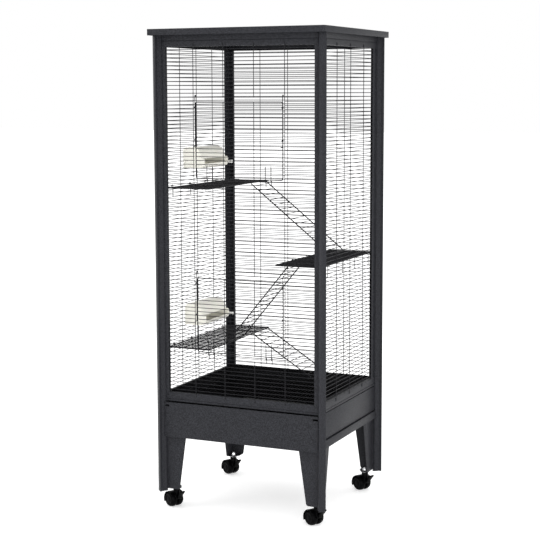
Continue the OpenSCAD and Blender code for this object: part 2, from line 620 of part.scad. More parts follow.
// Latch rod: a leg over the wire above the door, and a turned-down tip behind it. It stands open
// at rest; sliding down by latch_travel puts the tip behind the wire.
module latch(row, s) color(shade) {
  zw = wire_z(row + bay_rows) + wire_r;
  r = latch_d / 2;
  z1 = zw + 0.4 + latch_tip + r;
  ytip = -hd + wire_d + weld + 0.35 + r;
  x = s * latch_x;
  wire_z_(z1 + r - latch_len, z1 + r, x, latch_y, latch_d);
  wire_y(latch_y, ytip + r, x, z1, latch_d);
  wire_z_(z1 - r - latch_tip, z1, x, ytip, latch_d);
  wire_y(latch_y - latch_grip, latch_y, x, z1 + 2 * r - latch_len, latch_d);
}
module upper_latch_left() latch(upper_hinge_row, -1);
module upper_latch_right() latch(upper_hinge_row, 1);
module lower_latch_left() latch(lower_hinge_row, -1);
module lower_latch_right() latch(lower_hinge_row, 1);

// ---- Casters --------------------------------------------------------------------------------
wheel_r = wheel_d / 2;
hood_in = wheel_r + 1.2;
hood_out = hood_in + 2.4;
hood_w = web_w / 2 + 1 + wheel_w;
hub_cap = 2.6;                                 // inside of a hub cap from the outer face of its wheel
pin_a = 165;                                   // where the pedal's pin sits round the wheel
pin_r = hood_out + 2.4;
module at_caster(sx, sy) translate([sx * (hw - stem_in_x), sy * (hd - stem_in_y), 0]) rotate(caster_turn)
  children();
// Flat ring sector round the axle, seen from the side
module sector(r0, r1, a0, a1) polygon(concat(arc(r0, a0, a1, 12), arc(r1, a1, a0, 12)));
module stem() color(zinc) {
  translate([0, 0, caster_h - 2.7]) cylinder(h = 2.7, d = 24);
  translate([0, 0, caster_h - 17.5]) cylinder(h = 17.5 + plate_t + 11, d = stem_d);
  translate([0, 0, caster_h + plate_t]) cylinder(h = 1.2, d = 20);
  translate([0, 0, caster_h + plate_t + 1.2]) cylinder(h = 7, d = 17, $fn = 6);
}
module hood() color(black) {
  axle = [trail, 0, wheel_r];
  translate(axle) rotate([90, 0, 0]) {
    // shell over the wheels
    linear_extrude(hood_w * 2, center = true) sector(hood_in, hood_out, -24, 140);
    // web down to the axle
    linear_extrude(web_w, center = true) polygon(concat([[0, 0]], arc(hood_in + 1, -20, 138, 14)));
    linear_extrude(web_w, center = true) circle(d = axle_d + 7);
    cylinder(h = (hood_w - hub_cap - 0.4) * 2, d = axle_d, center = true);
    // ears and pin of the pedal
    for (y = [-11.6, 11.6]) translate([0, 0, y]) linear_extrude(2.6, center = true)
      sector(hood_in + 0.8, pin_r + 3.2, 128, pin_a + 7);
    rotate(pin_a) translate([pin_r, 0, 0]) cylinder(h = 24, d = 3, center = true);
  }
  difference() {
    translate([0, 0, 42]) cylinder(h = caster_h - 2.7 - fit - 42, d = 23);
    translate([0, 0, caster_h - 18]) cylinder(h = 30, d = stem_d + fit * 2);
    translate(axle) rotate([90, 0, 0]) cylinder(h = 60, r = hood_in + 1, center = true, $fn = 64);
  }
}
// One wheel; s is the side of the web that it runs on
module wheel(s) color(black) translate([trail, 0, wheel_r]) rotate([s * -90, 0, 0])
  translate([0, 0, web_w / 2 + 1]) rotate_extrude($fn = 64) {
    w = wheel_w;
    b = axle_d / 2 + fit;
    polygon([[b, 0], [wheel_r - 1.4, 0], [wheel_r - 0.3, 0.6], [wheel_r, 2], [wheel_r, w * 0.35],
      [wheel_r - 0.6, w * 0.55], [wheel_r - 1.8, w * 0.75], [wheel_r - 3.6, w * 0.9], [wheel_r - 5.6, w - 0.4],
      [wheel_r - 7, w], [wheel_r - 9, w], [wheel_r - 10, w - 1.6], [9, w - 1.6], [8, w - 0.6], [0, w - 0.6],
      [0, w - hub_cap], [b, w - hub_cap]]);
  }
module pedal() color(black) translate([trail, 0, wheel_r]) rotate([90, 0, 0]) {
  px = pin_r * cos(pin_a);
  pz = pin_r * sin(pin_a);
  tip = -pedal_reach - trail - px;
  difference() {
    translate([px, pz, 0]) {
      linear_extrude(19, center = true) circle(r = 3.4);
      // blade out and up, with a turned lip
      linear_extrude(16, center = true) polygon([[-2.8, -1.5], [-12, 11.5], [tip, 26.2], [tip + 1.2, 28.6],
        [tip + 4, 29], [-9.5, 14.2], [2.6, 1.8]]);
      // shoe towards the wheels
      rotate(pin_a) linear_extrude(16, center = true) polygon([[-1.8, -1.8], [-5.4, 1], [-4.2, 3.1], [0.7, 2.1]]);
    }
    translate([px, pz, 0]) cylinder(h = 30, d = 3 + fit * 2, center = true);
  }
}

// ---- Placed pieces --------------------------------------------------------------------------
roof_cover();
post(-1, -1);  // post_front_left
post(1, -1);  // post_front_right
post(-1, 1);  // post_rear_left
post(1, 1);  // post_rear_right
front_panel();
left_panel();
right_panel();
rear_panel();
left_apron();
right_apron();
rear_apron();
floor_grate();
leg(-1, -1, true);  // leg_front_left
leg(1, -1, true);  // leg_front_right
leg(-1, 1, false);  // leg_rear_left
leg(1, 1, false);  // leg_rear_right
upper_shelf();
middle_shelf();
lower_shelf();
upper_feeder();
lower_feeder();
upper_feeder_bolt();
lower_feeder_bolt();
upper_hinge_wire();
lower_hinge_wire();
at_caster(-1, -1) stem();  // stem_front_left
at_caster(1, -1) stem();  // stem_front_right
at_caster(-1, 1) stem();  // stem_rear_left
at_caster(1, 1) stem();  // stem_rear_right
drawer_front();
tray_pan();
upper_door();
lower_door();
upper_door_hooks();
lower_door_hooks();
upper_latch_left();
upper_latch_right();
lower_latch_left();
lower_latch_right();
upper_ramp();
middle_ramp();
lower_ramp();
at_caster(-1, -1) hood();  // hood_front_left
at_caster(1, -1) hood();  // hood_front_right
at_caster(-1, 1) hood();  // hood_rear_left
at_caster(1, 1) hood();  // hood_rear_right
at_caster(-1, -1) wheel(1);  // wheel_front_left_a
at_caster(-1, -1) wheel(-1);  // wheel_front_left_b
at_caster(1, -1) wheel(1);  // wheel_front_right_a
at_caster(1, -1) wheel(-1);  // wheel_front_right_b
at_caster(-1, 1) wheel(1);  // wheel_rear_left_a
at_caster(-1, 1) wheel(-1);  // wheel_rear_left_b
at_caster(1, 1) wheel(1);  // wheel_rear_right_a
at_caster(1, 1) wheel(-1);  // wheel_rear_right_b
at_caster(-1, -1) pedal();  // pedal_front_left
at_caster(1, -1) pedal();  // pedal_front_right
at_caster(-1, 1) pedal();  // pedal_rear_left
at_caster(1, 1) pedal();  // pedal_rear_right
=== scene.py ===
import math

import bmesh
import bpy
from bpy.props import FloatProperty, FloatVectorProperty, PointerProperty
from bpy.types import Operator, Panel, PropertyGroup
from mathutils import Matrix, Vector


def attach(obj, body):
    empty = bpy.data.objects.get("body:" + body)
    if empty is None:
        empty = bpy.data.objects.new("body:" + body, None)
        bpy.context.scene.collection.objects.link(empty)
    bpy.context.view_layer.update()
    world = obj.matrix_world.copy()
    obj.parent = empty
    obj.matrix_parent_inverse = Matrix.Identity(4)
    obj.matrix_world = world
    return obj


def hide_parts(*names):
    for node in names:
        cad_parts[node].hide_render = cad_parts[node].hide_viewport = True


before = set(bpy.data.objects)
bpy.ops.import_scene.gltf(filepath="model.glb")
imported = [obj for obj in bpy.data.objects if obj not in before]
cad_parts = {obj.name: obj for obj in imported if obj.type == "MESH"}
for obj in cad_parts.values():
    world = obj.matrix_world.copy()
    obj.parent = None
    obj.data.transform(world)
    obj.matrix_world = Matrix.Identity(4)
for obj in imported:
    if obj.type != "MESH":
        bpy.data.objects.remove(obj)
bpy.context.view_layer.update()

bl_info = {
    "name": "Welded-wire cage",
    "version": (1, 0, 0),
    "blender": (4, 5, 0),
    "location": "3D View > Sidebar > Cage",
    "description": "Finishes and fine parts of a four-level wire cage, built around its CAD frame",
    "category": "Object",
}

MM = 0.001
CREASE = 38
CORNERS = ("front_left", "front_right", "rear_left", "rear_right")
SIGNS = {"front_left": (-1, -1), "front_right": (1, -1), "rear_left": (-1, 1), "rear_right": (1, 1)}


# ---- Settings that a user would change ---------------------------------------------------------
def colour(name, description, *default):
    return FloatVectorProperty(name=name, description=description, subtype="COLOR", default=default,
                               min=0, max=1)


class CageFinish(PropertyGroup):
    """Colours of the finishes, and the gloss of the frame's coat"""

    coat: colour("Powder coat", "Colour of the frame's anthracite coat", 0.0205, 0.0210, 0.0245)
    coat_gloss: FloatProperty(name="Coat roughness", description="Roughness of the powder coat",
                              default=0.46, min=0, max=1, subtype="FACTOR")
    wire: colour("Wire coat", "Colour of the coat on the wires", 0.013, 0.013, 0.015)
    # Tray: black enamel, set darker still to paint the shade that falls on the tray and the floor grate
    # inside the cage
    tray: colour("Tray", "Colour of the coat on tray and floor grate", 0.002, 0.002, 0.0025)
    cup: colour("Feeder", "Colour of the feeders' ivory plastic", 0.97, 0.945, 0.86)
    bolt: colour("Feeder bolt", "Colour of the feeders' white plastic bolts", 0.90, 0.90, 0.88)
    zinc: colour("Zinc", "Colour of the plated steel parts", 0.56, 0.56, 0.57)
    nylon: colour("Nylon", "Colour of the casters' nylon", 0.0012, 0.0012, 0.0015)


class CageSizes(PropertyGroup):
    """Sizes of the fine parts, in metres"""

    wire: FloatProperty(name="Grille wire", description="Diameter of a grille wire",
                        default=2.2 * MM, min=0.5 * MM, max=5 * MM, subtype="DISTANCE", unit="LENGTH")
    bead: FloatProperty(name="Weld bead", description="Diameter of the bead where two wires are welded",
                        default=3.0 * MM, min=1 * MM, max=6 * MM, subtype="DISTANCE", unit="LENGTH")


class CageStage(PropertyGroup):
    """Floor, lamps and camera"""

    world: FloatProperty(name="World", description="Strength of the even light all round",
                         default=1.2, min=0, max=2)
    key: FloatProperty(name="Key lamp", description="Power of the large lamp at the front right",
                       default=70.0, min=0, max=1000, subtype="POWER", unit="POWER")
    fill: FloatProperty(name="Fill lamp", description="Power of the lamp at the front left",
                        default=24.0, min=0, max=1000, subtype="POWER", unit="POWER")
    lens: FloatProperty(name="Focal length", description="Focal length on a 36 mm wide frame",
                        default=92.27, min=20, max=300, subtype="DISTANCE_CAMERA", unit="CAMERA")


# ---- Shader maths ------------------------------------------------------------------------------
class Value:
    """One socket of a material; arithmetic on it adds Math nodes"""

    def __init__(self, recipe, socket):
        self.recipe = recipe
        self.socket = socket

    def maths(self, operation, *others):
        return self.recipe.node("ShaderNodeMath", {"operation": operation}, [self, *others])

    def __add__(self, other):
        return self.maths("ADD", other)

    __radd__ = __add__

    def __mul__(self, other):
        return self.maths("MULTIPLY", other)

    __rmul__ = __mul__

    def above(self, level, width):
        """0 below level, 1 past level + width, smooth between"""
        return self.recipe.node("ShaderNodeMapRange", {"interpolation_type": "SMOOTHSTEP"},
                                {"Value": self, "From Min": level, "From Max": level + width})


def empty_tree(block):
    """The node tree of a new material or world, with nothing in it"""
    block.use_nodes = True
    block.node_tree.nodes.clear()
    return block.node_tree


class Recipe:
    """A material under construction: one Principled skin, and nodes that feed it"""

    def __init__(self, name):
        self.material = bpy.data.materials.new(name)
        self.tree = empty_tree(self.material)
        self.skin = self.tree.nodes.new("ShaderNodeBsdfPrincipled")
        out = self.tree.nodes.new("ShaderNodeOutputMaterial")
        self.tree.links.new(self.skin.outputs[0], out.inputs["Surface"])
        self.place = self.node("ShaderNodeTexCoord", {}, {}, "Object")

    def put(self, socket, value):
        if isinstance(value, Value):
            self.tree.links.new(value.socket, socket)
        else:
            socket.default_value = value

    def node(self, kind, settings, inputs, output=0):
        """Any node: its settings first, then its inputs by name or in order; returns one output"""
        made = self.tree.nodes.new(kind)
        for key, value in settings.items():
            setattr(made, key, value)
        pairs = inputs.items() if isinstance(inputs, dict) else enumerate(inputs)
        for key, value in pairs:
            self.put(made.inputs[key], value)
        return Value(self, made.outputs[output])

    def noise(self, scale, detail=2.0, rough=0.5, stretch=None):
        at = self.place
        if stretch:
            at = self.node("ShaderNodeMapping", {}, {"Vector": at, "Scale": stretch})
        return self.node("ShaderNodeTexNoise", {}, {"Vector": at, "Scale": scale, "Detail": detail,
                                                    "Roughness": rough})

    def between(self, factor, low, high):
        """Colour that runs from low to high as factor runs from 0 to 1"""
        made = self.tree.nodes.new("ShaderNodeMix")
        made.data_type = "RGBA"
        for socket, value in ((made.inputs[0], factor), (made.inputs[6], low), (made.inputs[7], high)):
            self.put(socket, value)
        return Value(self, made.outputs[2])

    def bump(self, height, depth, strength=1.0):
        return self.node("ShaderNodeBump", {}, {"Height": height, "Distance": depth, "Strength": strength})

    def skin_with(self, **sockets):
        for name, value in sockets.items():
            self.put(self.skin.inputs[name.replace("_", " ")], value)
        return self.material


def tone(colour, gain=1.0):
    return (*[min(1.0, c * gain) for c in colour], 1.0)


# ---- Finishes ----------------------------------------------------------------------------------
def powder_coat(name, colour, rough, speckle):
    """Textured powder coat: pebbled grain, mottle, tiny pale specks, slow drift of tone"""
    r = Recipe(name)
    grain = r.noise(1500, 3, 0.65)
    speck = r.noise(620, 2, 0.5)
    mottle = r.noise(420, 1, 0.5)
    drift = r.noise(5.5, 3, 0.5)
    base = r.between(mottle.above(0.36, 0.28), tone(colour, 0.5), tone(colour, 1.55))
    base = r.between(drift * 0.3, base, tone(colour, 1.3))
    base = r.between(speck.above(0.57, 0.13) * speckle, base, tone(colour, 2.3))
    height = grain * 0.7 + speck * 0.6 + mottle * 1.4
    return r.skin_with(Base_Color=base, Roughness=drift * 0.12 + grain * 0.10 + (rough - 0.11),
                       Normal=r.bump(height, 0.00022, 0.55), IOR=1.2)


def black_enamel_with_painted_shade(name, colour):
    """Smooth black enamel of the tray and the floor grate, with dust and faint scuffs; its colour is set
    darker than the enamel's own black, as painted shade over the cage's floor
    """
    r = Recipe(name)
    scuff = r.noise(38, 4, 0.6, (1.0, 7.0, 1.0))
    dust = r.noise(9, 4, 0.6)
    base = r.between(dust.above(0.45, 0.3) * 0.35, tone(colour), tone(colour, 2.4))
    return r.skin_with(Base_Color=base, Roughness=scuff * 0.22 + 0.44,
                       Normal=r.bump(scuff, 0.0001, 0.2), IOR=1.1)


def ivory_plastic(name, colour):
    """Moulded ivory plastic: faint flow marks, soft gloss"""
    r = Recipe(name)
    flow = r.noise(24, 3, 0.5, (1.0, 0.35, 2.0))
    fine = r.noise(900, 2, 0.5)
    base = r.between(flow, tone(colour, 0.93), tone(colour, 1.05))
    return r.skin_with(Base_Color=base, Roughness=flow * 0.10 + fine * 0.06 + 0.28,
                       Normal=r.bump(fine + flow * 2.0, 0.00015, 0.25), IOR=1.46)


def plated_steel(name, colour):
    """Bright zinc plate with a faint crystalline mottle"""
    r = Recipe(name)
    mottle = r.noise(260, 3, 0.6)
    cloud = r.noise(40, 3, 0.5)
    base = r.between(cloud, tone(colour, 0.82), tone(colour, 1.12))
    return r.skin_with(Base_Color=base, Metallic=1.0, Roughness=mottle * 0.22 + 0.20,
                       Normal=r.bump(mottle, 0.00008, 0.3))


def black_nylon(name, colour, rough):
    """Black nylon of the casters: half gloss with light scuffs"""
    r = Recipe(name)
    scuff = r.noise(170, 4, 0.6)
    wear = r.noise(30, 3, 0.5)
    base = r.between(scuff.above(0.58, 0.2) * 0.4, tone(colour), tone(colour, 3.2))
    return r.skin_with(Base_Color=base, Roughness=wear * 0.18 + scuff * 0.10 + (rough - 0.14),
                       Normal=r.bump(scuff, 0.00012, 0.3), IOR=1.12)


finishes = {}


def finish(name):
    if name not in finishes:
        raise RuntimeError("The finishes come first: no finish named " + name)
    return finishes[name]


# ---- Outlines, in millimetres ------------------------------------------------------------------
def arc(radius, start, end, steps, centre=(0, 0)):
    """Points of an arc; angles in degrees"""
    turns = [math.radians(start + (end - start) * i / steps) for i in range(steps + 1)]
    return [(centre[0] + radius * math.cos(t), centre[1] + radius * math.sin(t)) for t in turns]


def beside(path, gap):
    """An open path moved to its left by gap, mitred at the bends"""
    def left(a, b):
        d = (Vector(b) - Vector(a)).normalized()
        return Vector((-d.y, d.x))

    moved = []
    for i, point in enumerate(path):
        sides = [left(path[j], path[j + 1]) for j in (i - 1, i) if 0 <= j < len(path) - 1]
        shift = sides[0] if len(sides) == 1 else (sides[0] + sides[1]) / (1 + sides[0].dot(sides[1]))
        moved.append(tuple(Vector(point) + shift * gap))
    return moved


def folded(path, gap):
    """Closed outline of a sheet of that thickness, folded along a path"""
    return list(path) + beside(path, gap)[::-1]


def mirrored(points):
    return [(-p[0], *p[1:]) for p in points]


# ---- Mesh helpers ------------------------------------------------------------------------------
def mesh_of(name, work):
    """Closes off a bmesh as a mesh whose faces point outwards"""
    bmesh.ops.recalc_face_normals(work, faces=work.faces)
    mesh = bpy.data.meshes.new(name)
    work.to_mesh(mesh)
    work.free()
    return mesh


def prism(outline, axis, start, end):
    """A closed outline pulled from start to end: (x, y) along Z, (x, z) along Y or (y, z) along X"""
    def at(p, h):
        spot = {"X": (h, p[0], p[1]), "Y": (p[0], h, p[1]), "Z": (p[0], p[1], h)}[axis]
        return [c * MM for c in spot]

    work = bmesh.new()
    low = [work.verts.new(at(p, start)) for p in outline]
    high = [work.verts.new(at(p, end)) for p in outline]
    count = len(outline)
    work.faces.new(low[::-1])
    work.faces.new(high)
    for i in range(count):
        work.faces.new((low[i], low[(i + 1) % count], high[(i + 1) % count], high[i]))
    return mesh_of("prism", work)


def lathe(profile, steps, axis="Z"):
    """A closed (radius, height) profile turned round an axis"""
    work = bmesh.new()
    rings = []
    for k in range(steps):
        c, s = math.cos(math.tau * k / steps), math.sin(math.tau * k / steps)
        ring = []
        for r, h in profile:
            spot = {"X": (h, r * c, r * s), "Y": (r * s, h, r * c), "Z": (r * c, r * s, h)}[axis]
            ring.append(work.verts.new([a * MM for a in spot]))
        rings.append(ring)
    count = len(profile)
    for k in range(steps):
        a, b = rings[k], rings[(k + 1) % steps]
        for i in range(count):
            work.faces.new((a[i], a[(i + 1) % count], b[(i + 1) % count], b[i]))
    bmesh.ops.remove_doubles(work, verts=work.verts, dist=1e-7)
    return mesh_of("lathe", work)


def worked(mesh, *steps):
    """Runs modifiers over a mesh, each (type, settings), and returns the plain result"""
    blank = bpy.data.objects.new("blank", mesh)
    bpy.context.scene.collection.objects.link(blank)
    for kind, settings in steps:
        modifier = blank.modifiers.new(kind.lower(), kind)
        for key, value in settings.items():
            setattr(modifier, key, value)
    graph = bpy.context.evaluated_depsgraph_get()
    graph.update()
    result = bpy.data.meshes.new_from_object(blank.evaluated_get(graph))
    bpy.data.objects.remove(blank)
    return result


def eased(mesh, width, steps=2, angle=35):
    """Edges sharper than the angle, rounded off over a width in millimetres"""
    return worked(mesh, ("BEVEL", {"width": width * MM, "segments": steps, "limit_method": "ANGLE",
                                   "angle_limit": math.radians(angle)}))


def cut(mesh, *others, operation="DIFFERENCE"):
    """A mesh with others cut out of it, or joined on with UNION"""
    for other in others:
        tool = bpy.data.objects.new("tool", other)
        bpy.context.scene.collection.objects.link(tool)
        mesh = worked(mesh, ("BOOLEAN", {"operation": operation, "object": tool, "solver": "EXACT"}))
        bpy.data.objects.remove(tool)
    return mesh


def moved(mesh, matrix):
    mesh.transform(matrix)
    if matrix.determinant() < 0:
        mesh.flip_normals()
    return mesh


def joined(name, meshes):
    work = bmesh.new()
    for mesh in meshes:
        work.from_mesh(mesh)
    mesh = bpy.data.meshes.new(name)
    work.to_mesh(mesh)
    work.free()
    return mesh


def stand(name, mesh, body="frame", finish_name="wire", stands_for=()):
    """Puts a finished mesh in the scene as a piece that rides on a body"""
    mesh.name = name
    piece = bpy.data.objects.new(name, mesh)
    bpy.context.scene.collection.objects.link(piece)
    mesh.materials.clear()
    mesh.materials.append(finish(finish_name))
    for polygon in mesh.polygons:
        polygon.material_index = 0
        polygon.use_smooth = True
    mesh.set_sharp_from_angle(angle=math.radians(CREASE))
    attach(piece, body)
    if stands_for:
        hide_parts(*stands_for)
    return piece


def soft_edged(node, width):
    """A merged copy of a CAD node with its folds rounded off"""
    work = bmesh.new()
    work.from_mesh(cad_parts[node].data)
    bmesh.ops.remove_doubles(work, verts=work.verts, dist=2e-6)
    bmesh.ops.dissolve_limit(work, angle_limit=math.radians(0.5), verts=work.verts, edges=work.edges)
    mesh = bpy.data.meshes.new(node)
    work.to_mesh(mesh)
    work.free()
    return eased(mesh, width, 2, 50)


# ---- Geometry Nodes: round wires along paths, and weld beads on points --------------------------
def new_tree(name, inputs):
    """A node tree with a geometry in and out and named inputs, each (name, socket type, value)"""
    tree = bpy.data.node_groups.new(name, "GeometryNodeTree")
    tree.interface.new_socket("Geometry", in_out="INPUT", socket_type="NodeSocketGeometry")
    for label, kind, value in inputs:
        socket = tree.interface.new_socket(label, in_out="INPUT", socket_type=kind)
        if value is not None:
            socket.default_value = value
    tree.interface.new_socket("Geometry", in_out="OUTPUT", socket_type="NodeSocketGeometry")
    return tree


def tree_node(tree, kind, settings=(), **links):
    made = tree.nodes.new(kind)
    for key, value in dict(settings).items():
        setattr(made, key, value)
    for key, value in links.items():
        socket = made.inputs[key.replace("_", " ")]
        if isinstance(value, bpy.types.NodeSocket):
            tree.links.new(value, socket)
        else:
            socket.default_value = value
    return made


def halved(tree, socket):
    half = tree_node(tree, "ShaderNodeMath", {"operation": "DIVIDE"})
    tree.links.new(socket, half.inputs[0])
    half.inputs[1].default_value = 2
    return half.outputs[0]


def coat_and_close(tree, geometry, coat):
    """Instances made real and coated, then the tree's output"""
    whole = tree_node(tree, "GeometryNodeRealizeInstances", Geometry=geometry)
    coated = tree_node(tree, "GeometryNodeSetMaterial", Geometry=whole.outputs[0], Material=coat)
    tree.links.new(coated.outputs[0], tree.nodes.new("NodeGroupOutput").inputs[0])
    return tree


def wire_tree():
    """Round wire along every edge path, with filleted bends and closed ends"""
    tree = new_tree("round_wire", (("Diameter", "NodeSocketFloat", 2.2 * MM),
                                   ("Bend", "NodeSocketFloat", 3 * MM), ("Sides", "NodeSocketInt", 12),
                                   ("Coat", "NodeSocketMaterial", None)))
    given = tree.nodes.new("NodeGroupInput").outputs
    paths = tree_node(tree, "GeometryNodeMeshToCurve", Mesh=given["Geometry"])
    bends = tree_node(tree, "GeometryNodeFilletCurve", Curve=paths.outputs[0], Radius=given["Bend"])
    mode = bends.inputs.get("Mode")
    if mode is None:
        bends.mode = "POLY"
    else:
        mode.default_value = "Poly"
    bends.inputs["Count"].default_value = 4
    bends.inputs["Limit Radius"].default_value = True
    ring = tree_node(tree, "GeometryNodeCurvePrimitiveCircle", Resolution=given["Sides"],
                     Radius=halved(tree, given["Diameter"]))
    body = tree_node(tree, "GeometryNodeCurveToMesh", Curve=bends.outputs[0], Profile_Curve=ring.outputs[0],
                     Fill_Caps=True)
    return coat_and_close(tree, body.outputs[0], given["Coat"])


def bead_tree():
    """A small ball on every point, each a little larger or smaller"""
    tree = new_tree("weld_bead", (("Diameter", "NodeSocketFloat", 3 * MM),
                                  ("Coat", "NodeSocketMaterial", None)))
    given = tree.nodes.new("NodeGroupInput").outputs
    ball = tree_node(tree, "GeometryNodeMeshUVSphere", Segments=8, Rings=4,
                     Radius=halved(tree, given["Diameter"]))
    size = tree_node(tree, "FunctionNodeRandomValue", {"data_type": "FLOAT"}, Seed=7)
    smallest, largest = size.inputs[2], size.inputs[3]
    smallest.default_value = 0.86
    largest.default_value = 1.08
    balls = tree_node(tree, "GeometryNodeInstanceOnPoints", Points=given["Geometry"],
                      Instance=ball.outputs[0], Scale=size.outputs[1])
    return coat_and_close(tree, balls.outputs[0], given["Coat"])


trees = {}


def grown(tree_name, source, **values):
    """The plain mesh that a node tree makes from a mesh of points or paths"""
    if tree_name not in trees:
        trees[tree_name] = {"wire": wire_tree, "bead": bead_tree}[tree_name]()
    tree = trees[tree_name]
    seed = bpy.data.objects.new("seed", source)
    bpy.context.scene.collection.objects.link(seed)
    modifier = seed.modifiers.new(tree_name, "NODES")
    modifier.node_group = tree
    ids = {item.name: item.identifier for item in tree.interface.items_tree if item.in_out == "INPUT"}
    for label, value in values.items():
        modifier[ids[label]] = value
    graph = bpy.context.evaluated_depsgraph_get()
    graph.update()
    mesh = bpy.data.meshes.new_from_object(seed.evaluated_get(graph))
    seed.modifiers.clear()
    bpy.data.objects.remove(seed)
    if not mesh.polygons:
        raise RuntimeError("The node tree " + tree_name + " made nothing")
    return mesh


def wires(paths, diameter, bend=3):
    """Round wires along lists of points, in millimetres; a path that ends where it starts is a loop"""
    points, edges = [], []
    for path in paths:
        loop = len(path) > 2 and (Vector(path[0]) - Vector(path[-1])).length < 1e-4
        spots = path[:-1] if loop else path
        first = len(points)
        points += [tuple(c * MM for c in p) for p in spots]
        edges += [(first + i, first + i + 1) for i in range(len(spots) - 1)]
        if loop:
            edges.append((first + len(spots) - 1, first))
    mesh = bpy.data.meshes.new("paths")
    mesh.from_pydata(points, edges, [])
    made = grown("wire", mesh, Diameter=diameter * MM, Bend=bend * MM, Sides=12, Coat=finish("wire"))
    work = bmesh.new()
    work.from_mesh(made)
    bmesh.ops.recalc_face_normals(work, faces=work.faces)
    work.to_mesh(made)
    work.free()
    return made


def beads(points, diameter):
    """Weld beads on points in millimetres"""
    mesh = bpy.data.meshes.new("points")
    mesh.from_pydata([tuple(c * MM for c in p) for p in points], [], [])
    return grown("bead", mesh, Diameter=diameter * MM, Coat=finish("wire"))


# ---- The cage's own sizes, in millimetres, as the CAD has them ----------------------------------
HALF_W, HALF_D = 282, 256
DECK_Z, OPEN_Z, HEAD_Z, UNDER_LID = 375, 405, 1543, 1598.8
SHEET, WIRE, WELD, PITCH = 1.2, 2.2, 0.25, 12.7
ROWS = 89
FRAME_D, LEDGE_W, BEAD_D = 12, 20, 1.5
HINGE_ROW = {"upper": 55, "lower": 10}
BAY_ROWS = 21
SHELVES = {"upper": (1085, -1), "middle": (847, 1), "lower": (555, -1)}
FEEDERS = {"upper": 1142.45, "lower": 609.05}


def row_z(i):
    return 416.5 + PITCH * i


def placed(paths, matrix):
    return [[tuple(matrix @ Vector(p)) for p in path] for path in paths]


def set_on(mesh, matrix):
    """A mesh in metres, moved by a matrix that is in millimetres"""
    mesh.transform(Matrix.Scale(MM, 4) @ matrix @ Matrix.Scale(1 / MM, 4))
    return mesh


SIDES = {
    "front": Matrix.Translation((0, -HALF_D, 0)) @ Matrix.Rotation(math.pi, 4, "Z"),
    "rear": Matrix.Translation((0, HALF_D, 0)),
    "right": Matrix.Translation((HALF_W, 0, 0)) @ Matrix.Rotation(-math.pi / 2, 4, "Z"),
    "left": Matrix.Translation((-HALF_W, 0, 0)) @ Matrix.Rotation(math.pi / 2, 4, "Z"),
}


# ---- Operators ---------------------------------------------------------------------------------
class CAGE_OT_finishes(Operator):
    """Mix the finishes"""

    bl_idname = "cage.finishes"
    bl_label = "Mix the finishes"

    def execute(self, context):
        look = context.scene.cage_finish
        finishes["sheet"] = powder_coat("anthracite_powder_coat", look.coat, look.coat_gloss, 0.55)
        finishes["wire"] = powder_coat("wire_powder_coat", look.wire, look.coat_gloss, 0.3)
        # The tray's coat carries painted shade: its black is darker than the enamel's own, to stand in for
        # the shadow inside the cage
        finishes["tray"] = black_enamel_with_painted_shade("tray_enamel_and_painted_shade", look.tray)
        finishes["cup"] = ivory_plastic("ivory_plastic", look.cup)
        finishes["bolt"] = ivory_plastic("white_plastic", look.bolt)
        finishes["zinc"] = plated_steel("zinc_plate", look.zinc)
        finishes["nylon"] = black_nylon("black_nylon", look.nylon, 0.34)
        finishes["tread"] = black_nylon("wheel_nylon", look.nylon, 0.45)
        return {"FINISHED"}


class CAGE_OT_sheet_parts(Operator):
    """Fold and coat the lid, posts, aprons, legs, drawer front and tray"""

    bl_idname = "cage.sheet_parts"
    bl_label = "Sheet parts"

    # Weld runs: way in from the body's corner, radius, foot and top
    SEAM_IN, SEAM_R, SEAM_FOOT, SEAM_TOP = 6.9, 1.1, 71, 252
    # Hems: inner and outer face, depth of foot and top under the deck, way short of the body's corner
    HEM_IN, HEM_OUT, HEM_FOOT, HEM_TOP, HEM_SHORT = -6.6, -5.4, 4, 0.3, 9

    def execute(self, context):
        parts = {"roof_cover": 0.9, "left_apron": 0.35, "right_apron": 0.35, "rear_apron": 0.35,
                 "drawer_front": 0.4}
        parts.update({"post_" + c: 0.35 for c in CORNERS})
        parts.update({"leg_" + c: 0.5 for c in CORNERS})
        for node, width in parts.items():
            body = "drawer" if node == "drawer_front" else "frame"
            mesh = soft_edged(node, width)
            if node.startswith("leg_"):
                mesh = joined(node, [mesh, self.seam(*SIGNS[node[4:]])])
            elif node.endswith("_apron"):
                mesh = joined(node, [mesh, self.hem(node[:-6])])
            stand(node + "_sheet", mesh, body, "sheet", [node])
        # The tray pan gets the darkened black that paints the shade on the cage's floor
        stand("tray_pan_sheet", soft_edged("tray_pan", 0.35), "drawer", "tray", ["tray_pan"])
        return {"FINISHED"}

    def seam(self, sx, sy):
        """Weld run down the corner where a leg meets its post"""
        spot = (sx * (HALF_W - self.SEAM_IN), sy * (HALF_D - self.SEAM_IN))
        return prism(arc(self.SEAM_R, 0, 315, 7, spot), "Z", self.SEAM_FOOT, self.SEAM_TOP)

    def hem(self, side):
        """Hem on an apron's top fold, close under the panel; the CAD has none"""
        half = (HALF_W if side == "rear" else HALF_D) - self.HEM_SHORT
        foot, top = DECK_Z - self.HEM_FOOT, DECK_Z - self.HEM_TOP
        outline = ((self.HEM_IN, foot), (self.HEM_OUT, foot), (self.HEM_OUT, top), (self.HEM_IN, top))
        return set_on(prism(outline, "X", -half, half), SIDES[side])


